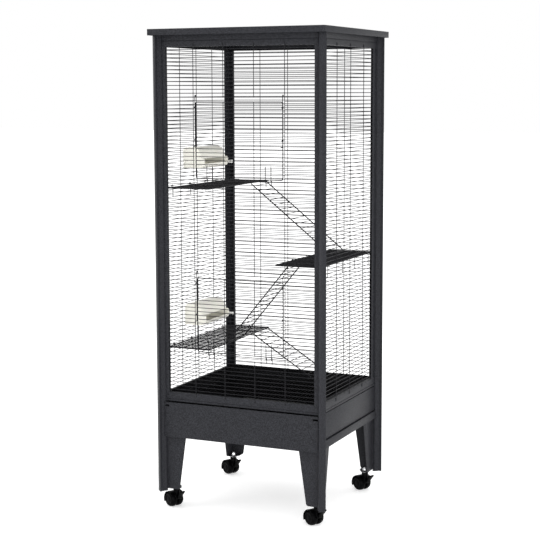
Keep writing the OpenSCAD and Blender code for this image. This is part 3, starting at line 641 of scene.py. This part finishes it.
class CAGE_OT_panels(Operator):
    """Fold the four panel frames and weld their wires in"""

    bl_idname = "cage.panels"
    bl_label = "Wire panels"

    # A panel's end lies this far inside the body's corner; width of a plain stile
    INSET, STILE_W = 7, 13
    # Stepped stile of the side panels: start and step along the wall, depths of its folds
    STEP_A, STEP_B, SHALLOW, DEEP, LIP = 214, 234, -3.2, -5.5, -0.5
    # How far the flanges of a side panel's header and rail stop short of its ends
    HEAD_SHORT, RAIL_SHORT = 5.3, 13.3
    # Row wires end here on the wide and the narrow panels; x of the upright bars
    END_WIDE, END_NARROW = 262.95, 214.95
    INNER, OUTER, NARROW_BAR = 54, 161, 120
    # Upright bars run past the open field by BAR_OVER, and past the row at a door bay by BAR_PAST
    BAR_OVER, BAR_PAST = 10, 1.5

    def execute(self, context):
        sizes = context.scene.cage_sizes
        for side, matrix in SIDES.items():
            wide = side in ("front", "rear")
            stand(side + "_panel_frame", set_on(self.sheet(wide), matrix), "frame", "sheet",
                  [side + "_panel"])
            bays = sorted((row, row + BAY_ROWS) for row in HINGE_ROW.values()) if side == "front" else []
            paths, welds = self.field(wide, bays)
            stand(side + "_panel_wires", wires(placed(paths, matrix), sizes.wire / MM))
            stand(side + "_panel_welds", beads(placed([welds], matrix)[0], sizes.bead / MM))
        return {"FINISHED"}

    def sheet(self, wide):
        """Header, bottom rail and stiles, with +Y outward"""
        reach = (HALF_W if wide else HALF_D) - self.INSET
        head = [(-FRAME_D, HEAD_Z), (0, HEAD_Z), *self.groove(HEAD_Z + 20, 1), (0, UNDER_LID),
                (-FRAME_D, UNDER_LID)]
        rail = [(-LEDGE_W, OPEN_Z), (0, OPEN_Z), *self.groove(DECK_Z + 7.5, -1), (0, DECK_Z),
                (-FRAME_D, DECK_Z)]
        meshes = []
        for path, gap, short in ((head, SHEET, self.HEAD_SHORT), (rail, -SHEET, self.RAIL_SHORT)):
            far = reach if wide else reach - short
            mesh = prism(folded(path, gap), "X", -far, far)
            if not wide:
                face = prism(folded(path[1:-1], gap), "X", -reach, reach)
                mesh = cut(face, mesh, operation="UNION")
            meshes.append(mesh)
        if wide:
            start = reach - self.STILE_W
            stile = [(start, -FRAME_D), (start, 0), (reach, 0), (reach, -FRAME_D)]
        else:
            edge = reach - SHEET
            stile = [(self.STEP_A, self.SHALLOW), (self.STEP_A, 0), (self.STEP_B, 0),
                     (self.STEP_B, self.DEEP), (edge, self.DEEP), (edge, self.LIP)]
        outline = folded(stile, -SHEET)
        for points in (outline, mirrored(outline)):
            meshes.append(prism(points, "Z", OPEN_Z - 0.5, HEAD_Z + 0.5))
        return joined("sheet", [eased(m, 0.3) for m in meshes])

    def groove(self, middle, way):
        """Groove pressed into a face, met from below (way 1) or from above (way -1)"""
        return [(0, middle - 1.5 * way), (-BEAD_D, middle - 0.5 * way), (-BEAD_D, middle + 0.5 * way),
                (0, middle + 1.5 * way)]

    def field(self, wide, bays):
        """Paths of the wires and the places where they are welded"""
        end = self.END_WIDE if wide else self.END_NARROW
        row_y, bar_y = -WIRE / 2 - WELD, WIRE / 2 - WELD
        inner, outer, narrow = self.INNER, self.OUTER, self.NARROW_BAR
        rows, welds = [], []
        columns = (-outer, -inner, inner, outer) if wide else (-narrow, 0, narrow)
        for i in range(ROWS):
            z = row_z(i)
            split = any(low <= i < high for low, high in bays)
            if split:
                rows += [[(s * (outer - 1), row_y, z), (s * end, row_y, z)] for s in (-1, 1)]
            else:
                rows.append([(-end, row_y, z), (end, row_y, z)])
            welds += [(x, -WELD, z) for x in columns if not (split and abs(x) < outer)]
        low, high = OPEN_Z - self.BAR_OVER, HEAD_Z + self.BAR_OVER
        if not wide:
            return rows + [[(x, bar_y, low), (x, bar_y, high)] for x in columns], welds
        bars = [[(s * outer, bar_y, low), (s * outer, bar_y, high)] for s in (-1, 1)]
        tops = [row_z(b[0] - 1) + self.BAR_PAST for b in bays] + [high]
        feet = [low] + [row_z(b[1]) - self.BAR_PAST for b in bays]
        bars += [[(s * inner, bar_y, a), (s * inner, bar_y, b)] for s in (-1, 1) for a, b in zip(feet, tops)]
        return rows + bars, welds


class CAGE_OT_doors(Operator):
    """Make the doors, their ring hooks, hinge wires and latch rods"""

    bl_idname = "cage.doors"
    bl_label = "Doors and latches"

    # Height of a door, and how far its foot lies over the hinge row
    TALL, LIFT = 248.9, 4
    # x of the rim's side wires, the bars, the latch rods and the hooks; half length of the hinge wire
    SIDE, BAR_X, LATCH_X, HOOK_X, PIN_HALF = 153.75, 54, 154.5, (94, 113.5), 159.9
    # Diameters of the rim, the latch rods and hinge wires, and the hooks
    RIM, ROD, HOOK = 3.5, 2.5, 2.3
    # Straps: way of each one's foot under the door's top, height, half the inside width
    STRAPS, STRAP_TALL, STRAP_GAP = (22, 126), 6, 1.55
    # Latch rod: its axis before the panel, its tip behind; top over the row, length, grip, tip
    ROD_Y, TIP_Y, ROD_TOP, ROD_LONG, GRIP, TIP_DROP = 1.55, 4.05, 6.25, 163.5, 14, 4.7

    def execute(self, context):
        sizes = context.scene.cage_sizes
        for level, row in HINGE_ROW.items():
            door = level + "_door"
            low, face, side, bar = row_z(row) + self.LIFT, -HALF_D, self.SIDE, self.BAR_X
            high, half = low + self.TALL, self.RIM / 2
            y, foot, top = face + half, low + half, high - half
            rim = [(0, y, foot), (side, y, foot), (side, y, top), (-side, y, top), (-side, y, foot),
                   (0, y, foot)]
            levels = [row_z(row + i) for i in range(1, 20)]
            rows = [[(-side, face + 1.35, z), (side, face + 1.35, z)] for z in levels]
            bars = [[(s * bar, face - 0.6, low + 0.5), (s * bar, face - 0.6, high - 0.5)] for s in (-1, 1)]
            welds = [(s * x, face + out, z) for z in levels for s in (-1, 1)
                     for x, out in ((bar, 0.2), (side, 1.5))]
            straps = [self.strap(s, high - drop) for s in (-1, 1) for drop in self.STRAPS]
            grid = [wires([rim], self.RIM, 6), wires(rows + bars, sizes.wire / MM)]
            stand(door + "_wires", joined("door", grid + straps), door, stands_for=[door])
            stand(door + "_welds", beads(welds, sizes.bead / MM), door)
            hooks = [p for s in (-1, 1) for x in self.HOOK_X for p in self.hook(s * x, row_z(row))]
            stand(door + "_ring_hooks", wires(hooks, self.HOOK, 0.01), door, stands_for=[door + "_hooks"])
            pin = [[(-self.PIN_HALF, face + 1.5, row_z(row)), (self.PIN_HALF, face + 1.5, row_z(row))]]
            stand(level + "_hinge_rod", wires(pin, self.ROD), stands_for=[level + "_hinge_wire"])
            for hand, s in (("left", -1), ("right", 1)):
                name = f"{level}_latch_{hand}"
                rod = wires([self.latch(s, row_z(row + BAY_ROWS))], self.ROD, 1.4)
                stand(name + "_rod", rod, name, stands_for=[name])
        return {"FINISHED"}

    def strap(self, s, z):
        """Folded clip round a latch rod"""
        x, gap, back = s * self.LATCH_X, self.STRAP_GAP, -HALF_D + 0.1
        front = -HALF_D - self.ROD_Y - gap
        inner = [(x + gap, back), (x + gap, front), (x - gap, front), (x - gap, back)]
        outline = folded(inner, SHEET)
        return eased(prism(outline, "Z", z, z + self.STRAP_TALL), 0.3)

    def hook(self, x, z):
        """Leg up the door, ring round the hinge wire, tail down behind the panel"""
        y, r = -HALF_D + 1.5, 2.7
        around = [(x, y + a, z + b) for a, b in arc(r, 180, 540, 20)]
        return [[(x, y - r, z + 48)] + around, [(x, y + r, z), (x, y + r, z - 16)]]

    def latch(self, s, z):
        """Grip, long leg, bridge over the wire and turned-down tip"""
        x, y, tip_y = s * self.LATCH_X, -HALF_D - self.ROD_Y, -HALF_D + self.TIP_Y
        top = z + self.ROD_TOP
        foot = top - self.ROD_LONG
        return [(x, y - self.GRIP, foot), (x, y, foot), (x, y, top), (x, tip_y, top),
                (x, tip_y, top - self.TIP_DROP)]


class CAGE_OT_shelves(Operator):
    """Make the three mesh shelves with their hanging brackets"""

    bl_idname = "cage.shelves"
    bl_label = "Mesh shelves"

    # x of the free edge and of the edge at the wall, half length, wires across, gaps along
    FREE, WALL, HALF, ROWS, GAPS = 118, 270.75, 236, 37, 6
    # x of a bracket's leg and of its hooked end, and the brackets' places in rows
    LEG_X, HOOK_X, BRACKETS = 278.35, 283.25, (-14.5, -4.5, 4.5, 14.5)

    def execute(self, context):
        for level, (z, s) in SHELVES.items():
            free, wall, half = self.FREE, self.WALL, self.HALF
            rim = [(s * free, 0, z), (s * free, half, z), (s * wall, half, z), (s * wall, -half, z),
                   (s * free, -half, z), (s * free, 0, z)]
            ys = [(i - self.ROWS // 2) * PITCH for i in range(self.ROWS)]
            xs = [free + (wall - free) * i / self.GAPS for i in range(1, self.GAPS)]
            across = [[(s * free, y, z), (s * wall, y, z)] for y in ys]
            along = [[(s * x, -half, z - 1.8), (s * x, half, z - 1.8)] for x in xs]
            welds = [(s * x, y, z - 0.9) for y in ys for x in xs]
            welds += [(s * x, y, z) for y in ys for x in (free, wall)]
            hang = row_z(math.ceil((z - row_z(0) + 1) / PITCH))
            leg, hook = s * self.LEG_X, s * self.HOOK_X
            brackets = []
            for y in (k * PITCH for k in self.BRACKETS):
                brackets += [[(s * wall, y, z), (leg, y, z)],
                             [(leg, y, hang - 3 * PITCH), (leg, y, hang + 2.3), (hook, y, hang + 2.3),
                              (hook, y, hang - 4)]]
            mesh = joined("shelf", [wires([rim], 4, 6), wires(across + along, 2), wires(brackets, 2.4, 1.5)])
            stand(level + "_shelf_wires", mesh, stands_for=[level + "_shelf"])
            stand(level + "_shelf_welds", beads(welds, 2.7))
        return {"FINISHED"}


class CAGE_OT_ramps(Operator):
    """Make the three wire ramps that hook over the shelves' edges"""

    bl_idname = "cage.ramps"
    bl_label = "Wire ramps"

    # pivot (x, z), direction downhill, run, drop to what the foot rests on, first row
    RAMPS = {"upper": (-118, 1085, 1, 300, 236.7, 6), "middle": (118, 847, -1, 242, 290.7, -8),
             "lower": (-118, 555, 1, 232, 145.1, 7)}
    # Width in rows; first rung and spacing down the slope; start of the rails; end kept free of rungs
    WIDE, RUNG, STEP, START, FREE = 10, 14, 25.4, 3.3, 30
    # Radii of the shelf's rim and of the hooks' wire, and the gap between them
    RIM_R, HOOK_R, GAP = 2, 1.3, 0.3

    def execute(self, context):
        for level, (x, z, s, run, drop, first) in self.RAMPS.items():
            slope = math.atan2(drop, run)
            foot = self.RIM_R / math.cos(math.radians(22.5))
            length = (drop - foot) / math.sin(slope)
            y0 = (first + 0.5) * PITCH
            y1 = y0 + self.WIDE * PITCH

            def at(d, y):
                return (x + s * d * math.cos(slope), y, z - d * math.sin(slope))

            rails = [[at(self.START, y0), at(length, y0), at(length, y1), at(self.START, y1)]]
            count = int((length - self.FREE) / self.STEP) + 1
            steps = [self.RUNG + self.STEP * i for i in range(count)]
            rungs = [[at(d, y0), at(d, y1)] for d in steps]
            bend = foot + self.GAP + self.HOOK_R
            start = -math.degrees(slope) - 20
            hooks = [[(x + s * a, y, z + b) for a, b in arc(bend, start, 195, 14)] for y in (y0, y1)]
            rods = [wires(rails, 4, 6), wires(rungs, 2.4), wires(hooks, 2 * self.HOOK_R, 0.01)]
            stand(level + "_ramp_wires", joined("ramp", rods), level + "_ramp", stands_for=[level + "_ramp"])
            welds = [at(d, y) for d in steps for y in (y0 + 1.6, y1 - 1.6)]
            stand(level + "_ramp_welds", beads(welds, 3.4), level + "_ramp")
        return {"FINISHED"}


class CAGE_OT_grate(Operator):
    """Make the wire grate over the tray"""

    bl_idname = "cage.grate"
    bl_label = "Floor grate"

    # Half width and half depth; heights of the rim, the long wires, the cross wires and the welds
    HALF_X, HALF_Y, RIM_Z, LONG_Z, CROSS_Z, WELD_Z = 264.5, 238, 407, 408.5, 406.4, 407.5
    LONG_WIRES = 42

    def execute(self, context):
        x, y, z = self.HALF_X, self.HALF_Y, self.RIM_Z
        rim = [(0, -y, z), (x, -y, z), (x, y, z), (-x, y, z), (-x, -y, z), (0, -y, z)]
        xs = [(i - (self.LONG_WIRES - 1) / 2) * PITCH for i in range(self.LONG_WIRES)]
        along = [[(a, -y, self.LONG_Z), (a, y, self.LONG_Z)] for a in xs]
        ys = [i * y / 4 for i in range(-3, 4)]
        across = [[(-x, b, self.CROSS_Z), (x, b, self.CROSS_Z)] for b in ys]
        mesh = joined("grate", [wires([rim], 4, 5), wires(along + across, WIRE)])
        # The grate's wires get the same darkened black, as painted shade on the cage's floor
        stand("floor_grate_wires", mesh, "frame", "tray", ["floor_grate"])
        welds = [(a, b, self.WELD_Z) for a in xs for b in ys]
        stand("floor_grate_welds", beads(welds, 2.8), "frame", "tray")
        return {"FINISHED"}


class CAGE_OT_feeders(Operator):
    """Mould the two hooded feeders, and coat their bolts"""

    bl_idname = "cage.feeders"
    bl_label = "Feeders"

    # Back of the feeder; depths of hood and bowl; height; wall; ends along the cage's wall
    BACK, HOOD, BOWL, TALL, WALL, Y0, Y1 = -279.25, 67, 81, 72, 2.5, -108, 72
    # Heights over the base: foot and top of the mouth, and the bolt
    LIP, OVER, BOLT = 17, 33, 17

    def execute(self, context):
        for level, z in FEEDERS.items():
            node = level + "_feeder"
            lip, over, front = self.LIP, self.OVER, self.BOWL
            cheek = [(front, over - 2), (front - 1.5, over + 1), (front - 5, over + 2.5),
                     (self.HOOD, over + 3.5)]
            step = [(front - self.WALL, lip + 1), (self.HOOD - self.WALL, lip + 1)]
            shell = eased(self.block(0, cheek), 2.2, 4, 30)
            back = self.HOOD - self.WALL - 1
            mouth = [(back, lip), (front + 1, lip), (front + 1, over + 10), (self.HOOD, over + 10),
                     (self.HOOD, over), (back, over)]
            mouth = prism(mouth, "Y", self.Y0 + self.WALL, self.Y1 - self.WALL)
            cup = eased(cut(shell, self.block(self.WALL, step), mouth), 0.7, 2, 50)
            near, far = self.Y1 - 2, self.Y1 + 15.5
            lug = prism(((0.2, near), (8, near), (8, far), (0.2, far)), "Z", self.BOLT - 12,
                        self.BOLT + 12)
            lug = eased(lug, 1.6, 3)
            bore = lathe(((0, -2), (4.8, -2), (4.8, 12), (0, 12)), 32, "X")
            bore.transform(Matrix.Translation((0, (self.Y1 + 7.5) * MM, self.BOLT * MM)))
            mesh = joined(node, [cup, cut(lug, bore)])
            mesh.transform(Matrix.Translation((self.BACK * MM, 0, z * MM)))
            stand(level + "_feeder_cup", mesh, "frame", "cup", [node])
            stand(level + "_feeder_bolt_shaft", soft_edged(node + "_bolt", 0.5), "frame", "bolt",
                  [node + "_bolt"])
        return {"FINISHED"}

    def block(self, inset, front):
        """Side outline of bowl and domed hood, with what joins the two in front, pulled along the wall"""
        hood, bowl, tall, e = self.HOOD, self.BOWL, self.TALL, inset
        side = [(e, e + 2), (e + 2, e), (hood - 9, e), (bowl - 8 - e * 0.4, 3.5 + e * 0.8),
                (bowl - 2 - e * 0.9, 9 + e * 0.4), (bowl - e, 15)]
        side += front + arc(30 - e, 0, 90, 12, (hood - 30, tall - 30))
        side += [(e + 6, tall - e - 1), (e, tall - e - 8)]
        return prism(side, "Y", self.Y0 + e, self.Y1 - e)


class CAGE_OT_casters(Operator):
    """Mould the hoods, wheels and brake pedals, and coat the stems"""

    bl_idname = "cage.casters"
    bl_label = "Casters"

    # Stem's place; turn of a caster at rest in degrees; axle behind the stem and over the floor
    STEM_X, STEM_Y, TURN, TRAIL, AXLE_Z = 258, 220, 151.2, 16, 25
    # Hood: half width, inner and outer radius; ends of its crown in degrees, steps along it
    HOOD_HALF, HOOD_IN, HOOD_OUT, CROWN_A, CROWN_B, CROWN_STEPS = 24.5, 26.2, 28.6, -24, 140, 27
    # Brake pedal's pin behind and over the axle; the ears that hold it
    PIN_X, PIN_Z, EAR_Y, EAR_HALF = -29.944, 8.023, 11.6, 1.3

    def execute(self, context):
        for corner in CORNERS:
            sx, sy = SIGNS[corner]
            place = (Matrix.Translation((sx * self.STEM_X * MM, sy * self.STEM_Y * MM, 0))
                     @ Matrix.Rotation(math.radians(self.TURN), 4, "Z"))
            axle = place @ Matrix.Translation((self.TRAIL * MM, 0, self.AXLE_Z * MM))
            stand(f"stem_{corner}_plated", soft_edged("stem_" + corner, 0.35), "frame", "zinc",
                  ["stem_" + corner])
            stand(f"hood_{corner}_shell", moved(self.hood(), axle), "caster_" + corner, "nylon",
                  ["hood_" + corner])
            for k, s in (("a", 1), ("b", -1)):
                flip = Matrix.Scale(s, 4, (0, 1, 0))
                stand(f"wheel_{corner}_{k}_tread", moved(self.wheel(), axle @ flip), f"wheel_{corner}_{k}",
                      "tread", [f"wheel_{corner}_{k}"])
            stand(f"pedal_{corner}_lever", soft_edged("pedal_" + corner, 0.4), "pedal_" + corner,
                  "nylon", ["pedal_" + corner])
        return {"FINISHED"}

    def wheel(self):
        """Half of a twin wheel: rounded tread, dished face, hub cap with a ring"""
        profile = [(4.3, 4.5), (23.4, 4.5), (24.5, 5.0), (25, 6.3), (25, 11), (24.85, 13.5), (24.4, 15.8),
                   (23.7, 18), (22.7, 20.2), (21.4, 22.3), (20.2, 23.6), (19, 24.3), (17.8, 24.5),
                   (16.6, 24.3), (15.6, 23.2), (15, 22.8), (9.7, 22.8), (9, 23.5), (8, 23.9), (0, 23.9),
                   (0, 21.9), (4.3, 21.9)]
        return lathe(profile, 64, "Y")

    def hood(self):
        """Crowned shell over the wheels, web down to the axle, boss for the stem, ears and pin"""
        work = bmesh.new()
        half, inner, outer = self.HOOD_HALF, self.HOOD_IN, self.HOOD_OUT
        across = [(-half, inner), (-half, inner + 1.2)]
        across += [(-half + 4 - 4 * math.cos(math.radians(a)), inner + 1.2 + (outer - inner - 1.2)
                    * math.sin(math.radians(a))) for a in (30, 60, 90)]
        across += [(-p[0], p[1]) for p in across[::-1]]
        rings = []
        for k in range(self.CROWN_STEPS + 1):
            angle = self.CROWN_A + (self.CROWN_B - self.CROWN_A) * k / self.CROWN_STEPS
            c, s = math.cos(math.radians(angle)), math.sin(math.radians(angle))
            rings.append([work.verts.new((r * c * MM, y * MM, r * s * MM)) for y, r in across])
        for a, b in zip(rings, rings[1:]):
            for i in range(len(across)):
                j = (i + 1) % len(across)
                work.faces.new((a[i], a[j], b[j], b[i]))
        work.faces.new(rings[0][::-1])
        work.faces.new(rings[-1])
        shell = eased(mesh_of("shell", work), 0.5, 2, 50)
        web = [(0, 0)] + arc(27.2, -20, 138, 24)
        parts = [shell, eased(prism(web, "Y", -3.5, 3.5), 0.6)]
        parts.append(lathe(((0, -21.5), (3.6, -21.5), (4, -21.1), (4, -3.6), (7.5, -3.6), (7.5, 3.6),
                            (4, 3.6), (4, 21.1), (3.6, 21.5), (0, 21.5)), 48, "Y"))
        boss = lathe(((4.8, 18), (11.5, 18), (11.5, 41.0), (10.9, 41.9), (4.8, 41.9)), 48)
        boss.transform(Matrix.Translation((-self.TRAIL * MM, 0, 0)))
        room = lathe(((0, -30), (27.2, -30), (27.2, 30), (0, 30)), 64, "Y")
        parts.append(eased(cut(boss, room), 0.4, 2, 50))
        ear = arc(27, 128, 172, 10) + arc(34.2, 172, 128, 10)
        for y in (-self.EAR_Y, self.EAR_Y):
            plate = prism(ear, "Y", y - self.EAR_HALF, y + self.EAR_HALF)
            parts.append(eased(plate, 0.4, 2, 50))
        pin = lathe(((0, -12), (1.3, -12), (1.5, -11.8), (1.5, 11.8), (1.3, 12), (0, 12)), 24, "Y")
        pin.transform(Matrix.Translation((self.PIN_X * MM, 0, self.PIN_Z * MM)))
        parts.append(pin)
        return joined("hood", parts)


class CAGE_OT_stage(Operator):
    """Lay the floor, hang the lamps and set the camera"""

    bl_idname = "cage.stage"
    bl_label = "Floor, lamps and camera"

    FLOOR_HALF, FLOOR_GREY, FLOOR_GLOW = 40, 0.86, 0.42
    # Camera: place in metres; turn, dip and roll in degrees
    EYE, TURN, DIP, ROLL = (1.9217, -4.2459, 1.4008), 24.437, 7.369, -0.178

    def execute(self, context):
        scene = context.scene
        look = scene.cage_stage
        scene.view_settings.view_transform = "Standard"
        self.lay_floor()
        self.light_world(scene, look.world)
        self.hang_lamp("key_lamp", (2.6, -3.5, 0.9), (0, 0, 0.5), 2.0, look.key)
        self.hang_lamp("fill_lamp", (-3.0, -3.0, 3.0), (0, 0, 0.8), 2.2, look.fill)
        camera = bpy.data.objects.new("camera", bpy.data.cameras.new("camera"))
        scene.collection.objects.link(camera)
        camera.data.sensor_width = 36
        camera.data.lens = look.lens
        turn, dip, roll = (math.radians(a) for a in (self.TURN, self.DIP, self.ROLL))
        ahead = Vector((-math.sin(turn) * math.cos(dip), math.cos(turn) * math.cos(dip), -math.sin(dip)))
        right = Vector((math.cos(turn), math.sin(turn), 0))
        up = right.cross(ahead)
        side = right * math.cos(roll) + up * math.sin(roll)
        top = side.cross(ahead)
        pose = Matrix((side, top, -ahead)).transposed().to_4x4()
        pose.translation = Vector(self.EYE)
        camera.matrix_world = pose
        camera.data.clip_end = 200
        scene.camera = camera
        return {"FINISHED"}

    def seen(self, tree):
        """1 for what the camera or a reflection looks at, 0 for plain light"""
        path = tree_node(tree, "ShaderNodeLightPath")
        either = tree_node(tree, "ShaderNodeMath", {"operation": "MAXIMUM"})
        tree.links.new(path.outputs["Is Camera Ray"], either.inputs[0])
        tree.links.new(path.outputs["Is Glossy Ray"], either.inputs[1])
        return either.outputs[0]

    def lay_floor(self):
        mesh = bpy.data.meshes.new("floor")
        half = self.FLOOR_HALF
        mesh.from_pydata([(-half, -half, 0), (half, -half, 0), (half, half, 0), (-half, half, 0)], [],
                         [(0, 1, 2, 3)])
        floor = bpy.data.objects.new("floor", mesh)
        bpy.context.scene.collection.objects.link(floor)
        material = bpy.data.materials.new("white_floor")
        tree = empty_tree(material)
        lift = tree_node(tree, "ShaderNodeMath", {"operation": "MULTIPLY"})
        tree.links.new(self.seen(tree), lift.inputs[0])
        lift.inputs[1].default_value = self.FLOOR_GLOW
        matt = tree_node(tree, "ShaderNodeBsdfDiffuse", Color=(*[self.FLOOR_GREY] * 3, 1))
        glow = tree_node(tree, "ShaderNodeEmission", Color=(1, 1, 1, 1), Strength=lift.outputs[0])
        both = tree_node(tree, "ShaderNodeAddShader")
        tree.links.new(matt.outputs[0], both.inputs[0])
        tree.links.new(glow.outputs[0], both.inputs[1])
        tree_node(tree, "ShaderNodeOutputMaterial", Surface=both.outputs[0])
        mesh.materials.append(material)

    def light_world(self, scene, strength):
        world = bpy.data.worlds.new("studio")
        scene.world = world
        tree = empty_tree(world)
        level = tree_node(tree, "ShaderNodeMapRange", Value=self.seen(tree), To_Min=strength, To_Max=1.0)
        sky = tree_node(tree, "ShaderNodeBackground", Color=(1, 1, 1, 1), Strength=level.outputs[0])
        tree_node(tree, "ShaderNodeOutputWorld", Surface=sky.outputs[0])

    def hang_lamp(self, name, spot, target, size, power):
        lamp = bpy.data.objects.new(name, bpy.data.lights.new(name, "AREA"))
        bpy.context.scene.collection.objects.link(lamp)
        lamp.data.shape = "DISK"
        lamp.data.size = size
        lamp.data.energy = power
        lamp.location = spot
        lamp.rotation_mode = "QUATERNION"
        lamp.rotation_quaternion = (Vector(target) - Vector(spot)).to_track_quat("-Z", "Y")


class CAGE_PT_builder(Panel):
    """Lists the cage's settings and steps"""

    bl_label = "Wire cage"
    bl_idname = "CAGE_PT_builder"
    bl_space_type = "VIEW_3D"
    bl_region_type = "UI"
    bl_category = "Cage"

    def draw(self, context):
        for group in (context.scene.cage_finish, context.scene.cage_sizes, context.scene.cage_stage):
            box = self.layout.box()
            for name in group.__annotations__:
                box.prop(group, name)
        for step in STEPS:
            self.layout.operator(step.bl_idname)


GROUPS = {"cage_finish": CageFinish, "cage_sizes": CageSizes, "cage_stage": CageStage}
STEPS = (CAGE_OT_finishes, CAGE_OT_sheet_parts, CAGE_OT_panels, CAGE_OT_doors, CAGE_OT_shelves,
         CAGE_OT_ramps, CAGE_OT_grate, CAGE_OT_feeders, CAGE_OT_casters, CAGE_OT_stage)


def register():
    for cls in (*GROUPS.values(), *STEPS, CAGE_PT_builder):
        bpy.utils.register_class(cls)
    for name, group in GROUPS.items():
        setattr(bpy.types.Scene, name, PointerProperty(type=group))


def unregister():
    for name in GROUPS:
        delattr(bpy.types.Scene, name)
    for cls in reversed((*GROUPS.values(), *STEPS, CAGE_PT_builder)):
        bpy.utils.unregister_class(cls)


def main():
    register()
    for step in STEPS:
        family, name = step.bl_idname.split(".")
        getattr(getattr(bpy.ops, family), name)()


if __name__ == "__main__":
    main()
